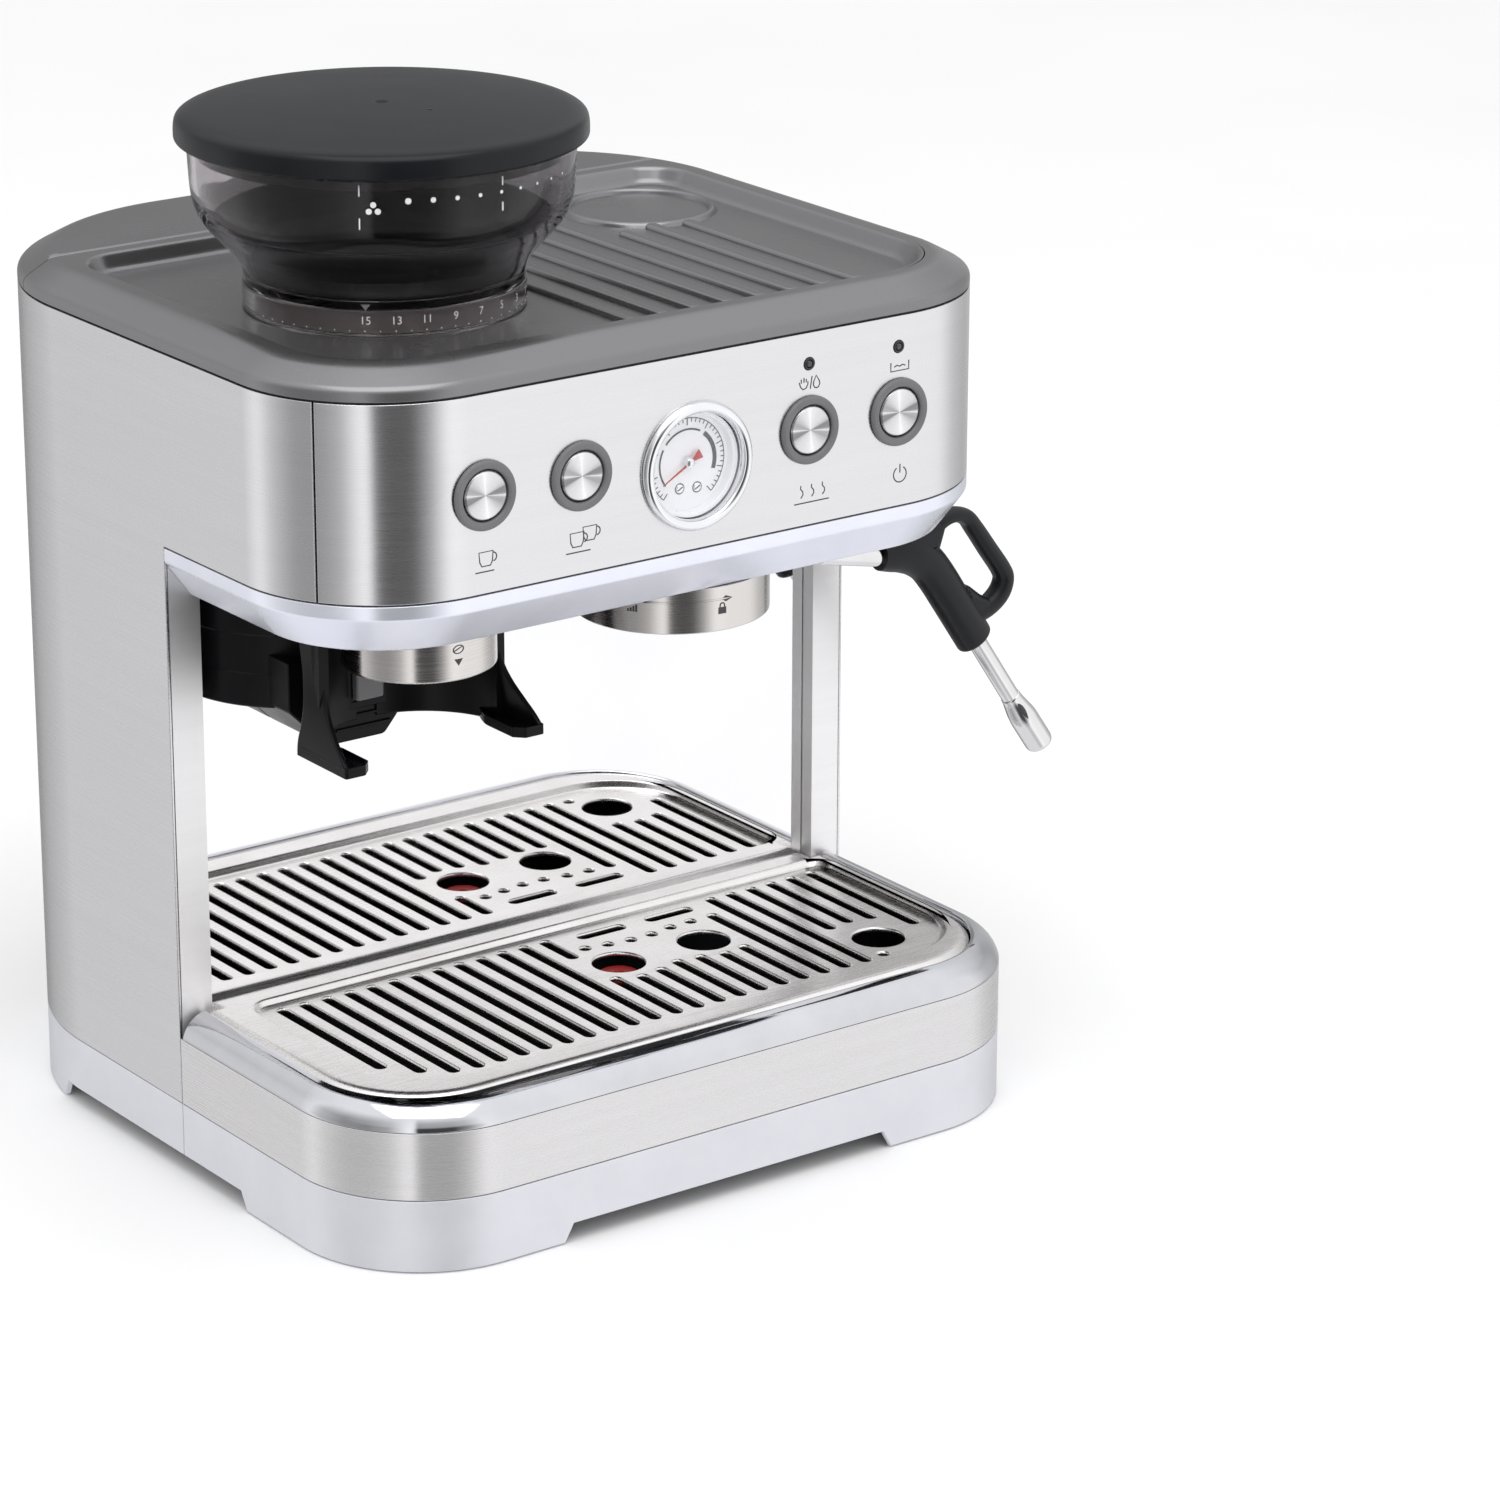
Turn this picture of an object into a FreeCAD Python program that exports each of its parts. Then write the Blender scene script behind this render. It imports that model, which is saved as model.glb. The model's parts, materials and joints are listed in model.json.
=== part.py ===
import FreeCAD, Part
import os
import re
from FreeCAD import Vector, Rotation

# Espresso machine with a built-in grinder, in millimetres.
# +Z is up, the counter is at z = 0 and the front is towards -Y.
# The plane of symmetry of the shell is x = -centre_x and the middle of its depth is y = -centre_y,
# so that the part's origin is at the centre of its bounding box, on the counter.

doc = FreeCAD.newDocument("espresso_machine")
sheet = doc.addObject("Spreadsheet::Sheet", "sizes")
aliases = []


def size(alias, value, note):
    """One named dimension of the machine, in mm or degrees."""
    row = len(aliases) + 1
    sheet.set(f"A{row}", note)
    sheet.set(f"B{row}", f"={value}" if isinstance(value, str) else str(value))
    sheet.setAlias(f"B{row}", alias)
    aliases.append(alias)


# shell
size("half_width", 156, "half of the width over the side panels")
size("head_front", 116.3, "front plane of the head, ahead of the pillars")
size("base_front", 139.2, "front plane of the base")
size("back_edge", 170.6, "rear plane of the shell")
size("head_corner", 57.8, "corner radius of the head's front")
size("base_corner", 53.9, "corner radius of the base's front")
size("back_corner", 94, "corner radius of the rear")
size("seam_angle", 33, "how far the side panels wrap round each corner, degrees")
size("panel_wall", 1.2, "sheet thickness of the steel panels")
size("plastic_wall", 2.5, "wall of the moulded covers")
size("gap", 0.4, "gap between neighbouring pieces")
size("pillar_front", -0.8, "front face of the pillars beside the cup space")
size("jamb_width", 14.5, "width of a pillar's front face")
size("mirror_face", 6, "front face of the polished back panel")
# levels
size("foot_level", 0.6, "lowest edge of the skirt's corners")
size("skirt_level", 7.6, "lower edge of the skirt between its corners")
size("band_level", 28.6, "seam between the skirt and the brushed steel")
size("collar_level", 55.4, "lower edge of the tray's bright collar")
size("rim_level", 65, "top of the drip grille's rim")
size("slot_level", 62.3, "slotted floor of the drip grille")
size("ceiling_level", 228.2, "lower edge of the bright trim under the head")
size("trim_level", 243.3, "where the trim's bevel meets its upright band")
size("panel_level", 248.7, "lower edge of the head's panels")
size("cover_level", 322.1, "seam between the panels and the top cover")
size("shelf_level", 327, "cup shelf")
size("crown_level", 333.5, "flat rim round the cup shelf")
size("crown_inset", 12, "how far the flat rim is set in from the side")
size("shelf_inset", 20, "how far the cup shelf is set in from the side")
size("shelf_back", 96, "rear edge of the cup shelf")
size("lid_seam", 103, "rear edge of the top cover, where the tank's lid begins")
size("tank_front", 106.2, "front wall of the water tank")
size("tank_back_edge", 128.5, "where the tank and rear cover come out between the side panels")
size("tank_level", 156, "underside of the water tank")
# hopper and grinder
size("hopper_x", -60.4, "axis of the bean hopper, across")
size("hopper_y", -4, "axis of the bean hopper, front to back")
size("ring_radius", 52.5, "numbered ring under the hopper")
size("bowl_radius", 71.5, "widest part of the hopper")
size("lid_radius", 76, "hopper lid")
size("lid_level", 389.5, "lower edge of the hopper lid")
size("lid_height", 12.5, "height of the hopper lid at its middle")
size("outlet_x", -91, "axis of the grinder's outlet, across")
size("outlet_y", -70, "axis of the grinder's outlet and of the brew group, front to back")
size("outlet_radius", 28.5, "bright collar round the grinder's outlet")
size("collar_bottom", 211.2, "lower edge of the outlet collar and of the lock ring")
size("shoe_radius", 36.5, "inside of the cradle's horseshoe")
size("arm_reach", 43.1, "outside of the cradle's arms, from the outlet's axis")
size("arm_wall", 3.7, "thickness of the cradle's arms")
size("foot_top", 181.8, "top of the cradle's feet")
# brew group
size("group_x", 22, "axis of the brew group, across")
size("lock_radius", 36.9, "lock ring of the brew group")
size("lock_bore", 35.6, "mouth of the lock ring")
# steam wand
size("wand_x", 100, "swivel axis of the steam wand, across")
size("wand_y", -54, "plane of the steam wand, front to back")
size("wand_radius", 3.8, "radius of the steam pipe")
size("elbow_z", 212.5, "bend under the swivel")
size("grip_x", 150, "first bend inside the grip, across")
size("grip_z", 201.9, "height of that bend")
size("bend_x", 160.8, "second bend inside the grip, across")
size("bend_z", 194.3, "height of that bend")
size("nozzle_x", 200.4, "start of the nozzle, across")
size("nozzle_z", 135.4, "height of that point")
size("tip_x", 216.8, "end of the nozzle, across")
size("tip_z", 111.6, "height of that point")
size("tip_radius", 5.8, "radius of the nozzle's end")
# front controls
size("button_z", 285.2, "height of the button row")
size("button_inner", 51, "nearer buttons, from the middle")
size("button_outer", 92.5, "farther buttons, from the middle")
size("gauge_z", 280.2, "height of the pressure gauge")
size("light_z", 310.2, "height of the indicator lights")
# drip tray
size("grille_side", 145.5, "half of the drip grille's width")
size("grille_front", 126, "front edge of the drip grille")
size("grille_corner", 42, "front corner radius of the drip grille")
size("slot_pitch", 10, "pitch of the grille's slots")
size("slot_start", -118.8, "leftmost slot")
size("slot_width", 4.4, "width of a slot")
size("drain_radius", 10.4, "large round holes in the grille")
size("wand_reach",
     "tip_x + tip_radius * (nozzle_z - 0.3 - tip_z)"
     " / sqrt((tip_x - nozzle_x - 0.2)^2 + (nozzle_z - 0.3 - tip_z)^2)",
     "how far the nozzle stands out from the plane of symmetry")
size("centre_x", "(wand_reach - half_width) / 2", "middle of the whole part across")
size("centre_y", "(back_edge - base_front) / 2", "middle of the whole part front to back")
doc.recompute()

WORD = re.compile(r"\b(" + "|".join(aliases) + r")\b")


def link(text):
    """An expression on the named sizes."""
    return WORD.sub(r"sizes.\1", str(text))


def number(text):
    """The present value of such an expression."""
    value = sheet.evalExpression(WORD.sub(r"\1", str(text)))
    return float(getattr(value, "Value", value))


def bind(thing, prop, text):
    thing.setExpression(prop, link(text))


def place(thing, x, y, z):
    """Put a piece at a point given from the shell's plane of symmetry."""
    bind(thing, ".Placement.Base.x", f"({x}) - centre_x")
    bind(thing, ".Placement.Base.y", f"({y}) - centre_y")
    bind(thing, ".Placement.Base.z", z)


def box(name, x0, x1, y0, y1, z0, z1):
    """A block between two corners."""
    thing = doc.addObject("Part::Box", name)
    bind(thing, "Length", f"({x1}) - ({x0})")
    bind(thing, "Width", f"({y1}) - ({y0})")
    bind(thing, "Height", f"({z1}) - ({z0})")
    place(thing, x0, y0, z0)
    return thing


def rod(name, radius, x, y, z0, z1):
    """An upright cylinder."""
    thing = doc.addObject("Part::Cylinder", name)
    bind(thing, "Radius", radius)
    bind(thing, "Height", f"({z1}) - ({z0})")
    place(thing, x, y, z0)
    return thing


def rod_back(name, radius, x, z, y0, y1):
    """A cylinder that runs from front to back."""
    thing = doc.addObject("Part::Cylinder", name)
    bind(thing, "Radius", radius)
    bind(thing, "Height", f"({y1}) - ({y0})")
    thing.Placement.Rotation = Rotation(Vector(1, 0, 0), -90)
    place(thing, x, y0, z)
    return thing


def rod_across(name, radius, y, z, x0, x1):
    """A cylinder that runs from left to right."""
    thing = doc.addObject("Part::Cylinder", name)
    bind(thing, "Radius", radius)
    bind(thing, "Height", f"({x1}) - ({x0})")
    thing.Placement.Rotation = Rotation(Vector(0, 1, 0), 90)
    place(thing, x0, y, z)
    return thing


def leaning(thing, x0, z0, x1, z1, y):
    """Lay an upright cylinder or cone along a line in the plane of the wand."""
    bind(thing, "Height", f"sqrt((({x1}) - ({x0}))^2 + (({z1}) - ({z0}))^2)")
    thing.Placement.Rotation = Rotation(Vector(0, 1, 0), 10)
    bind(thing, ".Placement.Rotation.Angle", f"atan2(({x1}) - ({x0}); ({z1}) - ({z0}))")
    place(thing, x0, y, z0)
    return thing


def pipe(name, radius, x0, z0, x1, z1, y):
    thing = doc.addObject("Part::Cylinder", name)
    bind(thing, "Radius", radius)
    return leaning(thing, x0, z0, x1, z1, y)


def ball(name, radius, x, y, z):
    thing = doc.addObject("Part::Sphere", name)
    bind(thing, "Radius", radius)
    place(thing, x, y, z)
    return thing


def fuse(name, *pieces):
    thing = doc.addObject("Part::MultiFuse", name)
    thing.Shapes = list(pieces)
    thing.Refine = True
    return thing


def cut(name, base, *tools):
    """Take one or more tools from a piece."""
    thing = doc.addObject("Part::Cut", name)
    thing.Base = base
    if len(tools) == 1:
        thing.Tool = tools[0]
    else:
        thing.Tool = fuse(name + "_tools", *tools)
    thing.Refine = True
    return thing


def common(name, one, other):
    thing = doc.addObject("Part::Common", name)
    thing.Base, thing.Tool = one, other
    thing.Refine = True
    return thing


def mirrored(name, source):
    """The same piece on the other side of the plane of symmetry."""
    thing = doc.addObject("Part::Mirroring", name)
    thing.Source = source
    thing.Normal = Vector(1, 0, 0)
    bind(thing, ".Base.x", "-centre_x")
    return thing


def outline(name, side, front, back, front_corner, back_corner, level):
    """A flat outline with rounded corners: half width, front and rear planes, two corner radii."""
    sketch = doc.addObject("Sketcher::SketchObject", name)
    w, f, b = number(side), number(front), number(back)
    rf, rb = number(front_corner), number(back_corner)
    turn = [((-w + rf, f + rf), rf, 180, 270), ((w - rf, f + rf), rf, 270, 360),
            ((w - rb, b - rb), rb, 0, 90), ((-w + rb, b - rb), rb, 90, 180)]
    ends = [((-w + rf, f), (w - rf, f)), ((w, f + rf), (w, b - rb)),
            ((w - rb, b), (-w + rb, b)), ((-w, b - rb), (-w, f + rf))]
    rad = 3.141592653589793 / 180
    for (centre, radius, start, stop), (one, two) in zip(turn, ends):
        circle = Part.Circle(Vector(centre[0], centre[1], 0), Vector(0, 0, 1), radius)
        sketch.addGeometry(Part.ArcOfCircle(circle, start * rad, stop * rad))
        sketch.addGeometry(Part.LineSegment(Vector(one[0], one[1], 0), Vector(two[0], two[1], 0)))
    rule = constraint_maker(sketch)
    # arcs are 0, 2, 4, 6 and the straight sides 1, 3, 5, 7, going round from the front left corner
    for arc in (0, 2, 4, 6):
        rule("Tangent", arc, 2, arc + 1, 1)
        rule("Tangent", arc + 1, 2, (arc + 2) % 8, 1)
    for side_line in (1, 5):
        rule("Horizontal", side_line)
    for side_line in (3, 7):
        rule("Vertical", side_line)
    rule("DistanceX", 3, 1, value=side)
    rule("DistanceX", 7, 1, value=f"-({side})")
    rule("DistanceY", 1, 1, value=front)
    rule("DistanceY", 5, 1, value=back)
    for arc, radius in ((0, front_corner), (2, front_corner), (4, back_corner), (6, back_corner)):
        rule("Radius", arc, value=radius)
    place(sketch, 0, 0, level)
    return sketch


def constraint_maker(sketch):
    """Returns a function that adds one constraint, bound to an expression where it has a value."""
    import Sketcher

    def rule(kind, *where, value=None):
        if value is None:
            sketch.addConstraint(Sketcher.Constraint(kind, *where))
            return
        place_in_list = sketch.addConstraint(Sketcher.Constraint(kind, *where, number(value)))
        bind(sketch, f"Constraints[{place_in_list}]", value)

    return rule


def profile(name, points):
    """A closed run of straight lines through the given points, each fixed by its two coordinates."""
    sketch = doc.addObject("Sketcher::SketchObject", name)
    spots = [(number(a), number(b)) for a, b in points]
    count = len(points)
    for k in range(count):
        a, b = spots[k], spots[(k + 1) % count]
        sketch.addGeometry(Part.LineSegment(Vector(a[0], a[1], 0), Vector(b[0], b[1], 0)))
    rule = constraint_maker(sketch)
    for k in range(count):
        rule("Coincident", k, 2, (k + 1) % count, 1)
    for k, (a, b) in enumerate(points):
        rule("DistanceX", k, 1, value=a)
        rule("DistanceY", k, 1, value=b)
    return sketch


def turned(name, points, x, y, z="0", back=False):
    """A turned piece from (radius, height) points, about an upright axis or one that runs to the back."""
    sketch = profile(name + "_section", points)
    sketch.Placement = FreeCAD.Placement(Vector(0, 0, 0), Rotation(Vector(1, 0, 0), 90))
    thing = doc.addObject("Part::Revolution", name)
    thing.Source = sketch
    thing.Axis = Vector(0, 0, 1)
    thing.Base = Vector(0, 0, 0)
    thing.Angle = 360
    thing.Solid = True
    if back:
        thing.Placement.Rotation = Rotation(Vector(1, 0, 0), -90)
    place(thing, x, y, z)
    return thing


def prism(name, sketch, height):
    thing = doc.addObject("Part::Extrusion", name)
    thing.Base = sketch
    thing.DirMode = "Normal"
    thing.Solid = True
    bind(thing, "LengthFwd", height)
    return thing


def loft(name, *sketches):
    thing = doc.addObject("Part::Loft", name)
    thing.Sections = list(sketches)
    thing.Solid = True
    thing.Ruled = True
    return thing


def head(name, inset, level):
    """Outline of the head and of the body behind it, set in by a distance."""
    return outline(name, f"half_width - ({inset})", f"-(head_front - ({inset}))", f"back_edge - ({inset})",
                   f"head_corner - ({inset})", f"back_corner - ({inset})", level)


def base(name, inset, level):
    """Outline of the base, set in by a distance."""
    return outline(name, f"half_width - ({inset})", f"-(base_front - ({inset}))", f"back_edge - ({inset})",
                   f"base_corner - ({inset})", f"back_corner - ({inset})", level)


def head_ring(name, wall, low, high, inset=0):
    """A wall that follows the head's outline."""
    return cut(name, prism(name + "_out", head(name + "_a", inset, low), f"({high}) - ({low})"),
               prism(name + "_in", head(name + "_b", f"({inset}) + ({wall})", f"({low}) - 1"),
                     f"({high}) - ({low}) + 2"))


def base_ring(name, wall, low, high, inset=0):
    """A wall that follows the base's outline."""
    return cut(name, prism(name + "_out", base(name + "_a", inset, low), f"({high}) - ({low})"),
               prism(name + "_in", base(name + "_b", f"({inset}) + ({wall})", f"({low}) - 1"),
                     f"({high}) - ({low}) + 2"))


def ahead(name, y):
    """Everything ahead of a plane."""
    return box(name, -230, 230, -240, y, -10, 420)


def behind(name, y):
    """Everything behind a plane."""
    return box(name, -230, 230, y, 240, -10, 420)


nodes = []


def node(name, thing, label):
    thing.Label = label
    nodes.append((name, thing))
    return thing


# ---------------------------------------------------------------- side and front panels
def side_keep(name, spare):
    """The left side panel's part of the shell: its straight side and the turn into both corners."""
    front = doc.addObject("Part::Box", name + "_front")
    front.Length, front.Width, front.Height = 130, 110, 420
    front.Placement.Rotation = Rotation(Vector(0, 0, 1), 10)
    bind(front, ".Placement.Rotation.Angle", f"90 + seam_angle + {spare}")
    place(front, "-half_width + head_corner", "-head_front + head_corner", -10)
    rear = doc.addObject("Part::Box", name + "_rear")
    rear.Length, rear.Width, rear.Height = 130, 130, 420
    rear.Placement.Rotation = Rotation(Vector(0, 0, 1), 10)
    bind(rear, ".Placement.Rotation.Angle", f"180 - seam_angle - {spare}")
    place(rear, "-half_width + back_corner", "back_edge - back_corner", -10)
    side = box(name + "_side", -170, "-half_width + head_corner", "-head_front + head_corner",
               "back_edge - back_corner", -10, 410)
    return fuse(name, front, rear, side)


shell = head_ring("shell", "panel_wall", "band_level + 0.3", "cover_level - 0.2")
low_front = box("low_front", -230, 230, -240, "pillar_front", -10, "panel_level")
left_side = cut("left_side", common("left_band", shell, side_keep("left_keep", 0)), low_front)
node("left_side_panel", left_side, "left side panel, brushed steel")
node("right_side_panel", mirrored("right_side", left_side), "right side panel, brushed steel")

left_clear = side_keep("left_clear", 0.4)
face_ring = head_ring("face_ring", "panel_wall", "panel_level", "cover_level - 0.2")
face_blank = cut("face_blank", face_ring, left_clear, mirrored("right_clear", left_clear),
                 behind("face_back", "-50"))
button_places = [("one_cup", "-button_outer"), ("two_cup", "-button_inner"),
                 ("steam", "button_inner"), ("power", "button_outer")]
light_places = [("steam", "button_inner"), ("descale", "button_outer")]
holes = [rod_back("hole_" + name, 11.5, x, "button_z", "-head_front - 5", "-head_front + 9") for name,
         x in button_places]
holes += [rod_back("light_hole_" + name, 2.4, x, "light_z", "-head_front - 5", "-head_front + 9") for name,
          x in light_places]
holes.append(rod_back("gauge_hole", 22.3, 0, "gauge_z", "-head_front - 5", "-head_front + 9"))
node("front_panel", cut("face", face_blank, *holes), "front panel, brushed steel")

# ---------------------------------------------------------------- bright trim and the underside of the head
trim_outer = fuse("trim_outer", loft("trim_bevel", head("trim_a", 11, "ceiling_level"),
                                     head("trim_b", 0, "trim_level")),
                  prism("trim_band", head("trim_c", 0, "trim_level"), "panel_level - trim_level - 0.3"))
trim_inner = fuse("trim_inner", loft("trim_hollow", head("trim_d", 14.5, "ceiling_level - 1"),
                                     head("trim_e", 2.2, "trim_level")),
                  prism("trim_core", head("trim_f", 2.2, "trim_level"), "panel_level - trim_level + 1"))
node("front_trim", cut("trim", trim_outer, trim_inner, behind("trim_back", "pillar_front - gap")),
     "bright trim under the head")

ceiling = prism("ceiling_blank", head("ceiling_a", 15, "ceiling_level + 0.5"), 2)
node("ceiling_plate", cut("ceiling", ceiling, behind("ceiling_back", "mirror_face - gap"),
                          rod("ceiling_group", 35, "group_x", "outlet_y", "ceiling_level - 2",
                              "ceiling_level + 5"),
                          rod("ceiling_outlet", 24.6, "outlet_x", "outlet_y", "ceiling_level - 2",
                              "ceiling_level + 5"),
                          rod("ceiling_wand", 9, "wand_x", "wand_y", "ceiling_level - 2",
                              "ceiling_level + 5")),
     "plate under the head")

# ---------------------------------------------------------------- pillars and the polished back of the cup space
jamb = fuse("jamb_sheet",
            box("jamb_face", "-half_width + panel_wall + 0.2", "-half_width + jamb_width", "pillar_front",
                "pillar_front + 1.2",
                "band_level + 0.3", "ceiling_level + 14"),
            box("jamb_return", "-half_width + jamb_width - 1.2", "-half_width + jamb_width", "pillar_front",
                "mirror_face + 3", "band_level + 0.3", "ceiling_level + 14"))
jamb = cut("jamb", jamb, box("jamb_notch", "-half_width - 1", "-half_width + 11.6", -10,
                             "pillar_front + 1.3",
                             "ceiling_level + 16", "ceiling_level + 20"))
node("left_jamb", jamb, "left pillar's front")
node("right_jamb", mirrored("right_jamb_sheet", jamb), "right pillar's front")
node("mirror_panel", box("mirror", "-half_width + jamb_width + 0.3", "half_width - jamb_width - 0.3",
                         "mirror_face",
                         "mirror_face + 1.2", "band_level + 34", "ceiling_level + 2.6"),
                         "polished back of the cup space")

# ---------------------------------------------------------------- top cover with the cup shelf
cover_block = fuse("cover_block", prism("cover_side", head("cover_a", 0, "cover_level + 0.2"),
                                        "shelf_level - cover_level - 0.2"),
                   loft("cover_slope", head("cover_b", 0, "shelf_level"), head("cover_c", "crown_inset",
                                                                               "crown_level")))


def shelf_outline(name, inset, level):
    return outline(name, f"half_width - ({inset})", f"-(head_front - ({inset}))", "shelf_back", 36, 18,
                   level)


shelf = loft("shelf", shelf_outline("shelf_a", "shelf_inset + 3", "shelf_level"),
             shelf_outline("shelf_b", "shelf_inset - 0.3", "crown_level + 0.6"))
cover_hollow = prism("cover_hollow", head("cover_d", "plastic_wall", "cover_level"), "plastic_wall")
cover = cut("cover_shell", cover_block, shelf, cover_hollow, behind("cover_back", "lid_seam"),
            rod("hopper_well", 47, "hopper_x", "hopper_y", 310, 340))
ribs = []
for k in range(8):
    far = "shelf_back - 6" if k < 5 else "22"
    x = f"-5.2 + {15 * k}"
    ribs.append(box(f"rib_{k}", f"{x} - 2.2", f"{x} + 2.2", -80.5, far, "shelf_level - 0.5",
                    "shelf_level + 1.6"))
    ribs.append(rod(f"rib_end_{k}", 2.2, x, -80.5, "shelf_level - 0.5", "shelf_level + 1.6"))
cup_ring = turned("cup_ring", [("27.2", "shelf_level - 0.5"), ("29.6", "shelf_level - 0.5"),
                               ("29.2", "shelf_level + 2.4"),
                               ("27.6", "shelf_level + 2.4")], 98, 57)
ribs_clear = cut("ribs_clear", fuse("ribs", *ribs), rod("ring_clear", 28.4, 98, 57, 320, 340))
node("top_cover", fuse("cover", cover, ribs_clear, cup_ring), "top cover with the cup shelf")

# ---------------------------------------------------------------- base
skirt = common("skirt_back", base_ring("skirt_rear_ring", "plastic_wall", "skirt_level", "band_level"),
               behind("skirt_cut", "pillar_front"))
rear_foot = common("rear_foot", base_ring("rear_foot_ring", "plastic_wall", "foot_level",
                                          "skirt_level + 0.1"),
                   fuse("rear_foot_where", box("rear_foot_left", -160, -124, 88, 150, 0, 20),
                        box("rear_foot_right", 124, 160, 88, 150, 0, 20)))
node("rear_skirt", fuse("rear_skirt_whole", skirt, rear_foot), "skirt round the rear of the base")

floor = prism("frame_floor", base("frame_a", 5, "skirt_level + 0.6"), 3)
frame_wall = common("frame_wall", base_ring("frame_ring", "plastic_wall", "skirt_level + 1",
                                            "band_level - 1", inset=3.2),
                    behind("frame_behind", 3))
cross_wall = box("cross_wall", -138, 138, 2.5, 5, "skirt_level + 1", "band_level + 32")
node("base_frame", fuse("frame", floor, frame_wall, cross_wall), "base frame")
for name, x, y in (("front_left", -118, -96), ("front_right", 118, -96), ("rear_left", -112, 122),
                   ("rear_right", 112, 122)):
    node("foot_" + name, turned("foot_" + name, [(0, 0), (8.5, 0), (9.5, 1), (9.5, "skirt_level + 0.4"),
                                                 (0, "skirt_level + 0.4")], x, y),
         "rubber foot")

# the rear wall between the side panels, below the tank
cover_wall = common("rear_wall", head_ring("rear_ring", "plastic_wall", "band_level + 0.3",
                                           "tank_level - 0.6"),
                    behind("rear_cut", "tank_back_edge"))
node("rear_cover", cut("rear_cover_whole", cover_wall, rod_back("gland_hole", 5.2, -120, 68.7, 130, 172)),
     "rear cover")
node("cord_gland", turned("gland", [(2.6, 0), (7, 0), (7, 3), (4.6, 3), (4.4, 19), (2.6, 19)], -120, 138.5,
                          68.7, back=True),
     "gland for the power cord")

# folded steel frame that carries the head and the shelf under the tank
chassis = fuse("chassis_sheets",
               box("chassis_wall", -134, 134, 100.6, 102, "skirt_level + 4", "cover_level - 4"),
               box("chassis_shelf", -111, 111, 101, 152, "tank_level - 2", "tank_level - 0.6"),
               box("chassis_left", -149.5, -148.3, 12, 102, "band_level + 0.6", "cover_level - 4"),
               box("chassis_right", 148.3, 149.5, 12, 102, "band_level + 0.6", "cover_level - 4"),
               box("chassis_back_left", -149.5, -133, 100.6, 102, "band_level + 0.6", "cover_level - 4"),
               box("chassis_back_right", 133, 149.5, 100.6, 102, "band_level + 0.6", "cover_level - 4"))
node("chassis", cut("chassis_frame", chassis, box("chassis_port", -30, 30, 95, 110, 60, 120)),
     "folded steel frame")

# ---------------------------------------------------------------- water tank and its lid
tank_out = fuse("tank_out",
                common("tank_rear", prism("tank_a", head("tank_a_line", 0.3, "tank_level"),
                                          "cover_level - tank_level - 0.4"),
                       behind("tank_b", "tank_back_edge")),
                common("tank_main", prism("tank_c", head("tank_c_line", 1.9, "tank_level"),
                                          "cover_level - tank_level - 0.4"),
                       behind("tank_d", "tank_front")))
tank_in = common("tank_in", prism("tank_e", head("tank_e_line", 4.6, "tank_level + 2.6"),
                                  "cover_level - tank_level"),
                 behind("tank_f", "tank_front + 2.6"))
node("water_tank", cut("tank", tank_out, tank_in), "water tank")

lid_block = fuse("lid_block", prism("lid_side", head("lid_a", 0, "cover_level + 0.2"),
                                    "shelf_level - cover_level - 0.2"),
                 loft("lid_slope", head("lid_b", 0, "shelf_level"), head("lid_c", "crown_inset",
                                                                         "crown_level")))
lid_hollow = common("lid_hollow", fuse("lid_hollow_whole",
                                       prism("lid_d", head("lid_d_line", "plastic_wall",
                                                           "cover_level - 1"),
                                                           "shelf_level - cover_level + 1"),
                                       loft("lid_e", head("lid_e_line", "plastic_wall", "shelf_level"),
                                            head("lid_f_line", "crown_inset + 1.5", "crown_level - 2.5"))),
                    behind("lid_front_wall", "lid_seam + 0.4 + plastic_wall"))
edge = "lid_seam + 0.4"
lid_whole = cut("lid_whole", lid_block, ahead("lid_cut", edge), lid_hollow)
rounding = cut("lid_rounding", box("lid_corner", -160, 160, f"{edge} - 1", f"{edge} + 2.6",
                                   "crown_level - 2.6", "crown_level + 1"),
               rod_across("lid_round", 2.6, f"{edge} + 2.6", "crown_level - 2.6", -165, 165))
node("tank_lid", cut("tank_lid_whole", lid_whole, rounding), "lid of the water tank")

# ---------------------------------------------------------------- bean hopper
node("hopper_ring", turned("ring", [("ring_radius - 4.5", "shelf_level + 0.3"),
                                    ("ring_radius", "shelf_level + 0.3"),
                                    ("ring_radius", "shelf_level + 9.8"),
                                    ("ring_radius - 4.5", "shelf_level + 9.8")],
                           "hopper_x", "hopper_y"), "numbered ring of the hopper")
bowl_points = [(34, 300), (37, 300), (37, "shelf_level + 2"), ("ring_radius - 5", "shelf_level + 2"),
               ("ring_radius - 5", "shelf_level + 10.2"), ("ring_radius - 0.6", "shelf_level + 10.2"),
               ("ring_radius - 0.2", 342), (54.5, 346), (58, 350.5), (63.5, 356), (67.5, 361),
               (69.8, 366.5), (70.6, 372),
               ("bowl_radius", "lid_level - 0.6"), ("bowl_radius - 2.2", "lid_level - 0.6"), (68.2, 372),
               (67.4, 367.5),
               (65.3, 362.8), (61.6, 358.2), (56, 352.5), (52.2, 347.6), (50, 342.5), (49.6, 340),
               (36, 331), (34, 328)]
node("hopper_bowl", turned("bowl", bowl_points, "hopper_x", "hopper_y"), "bean hopper")
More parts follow.
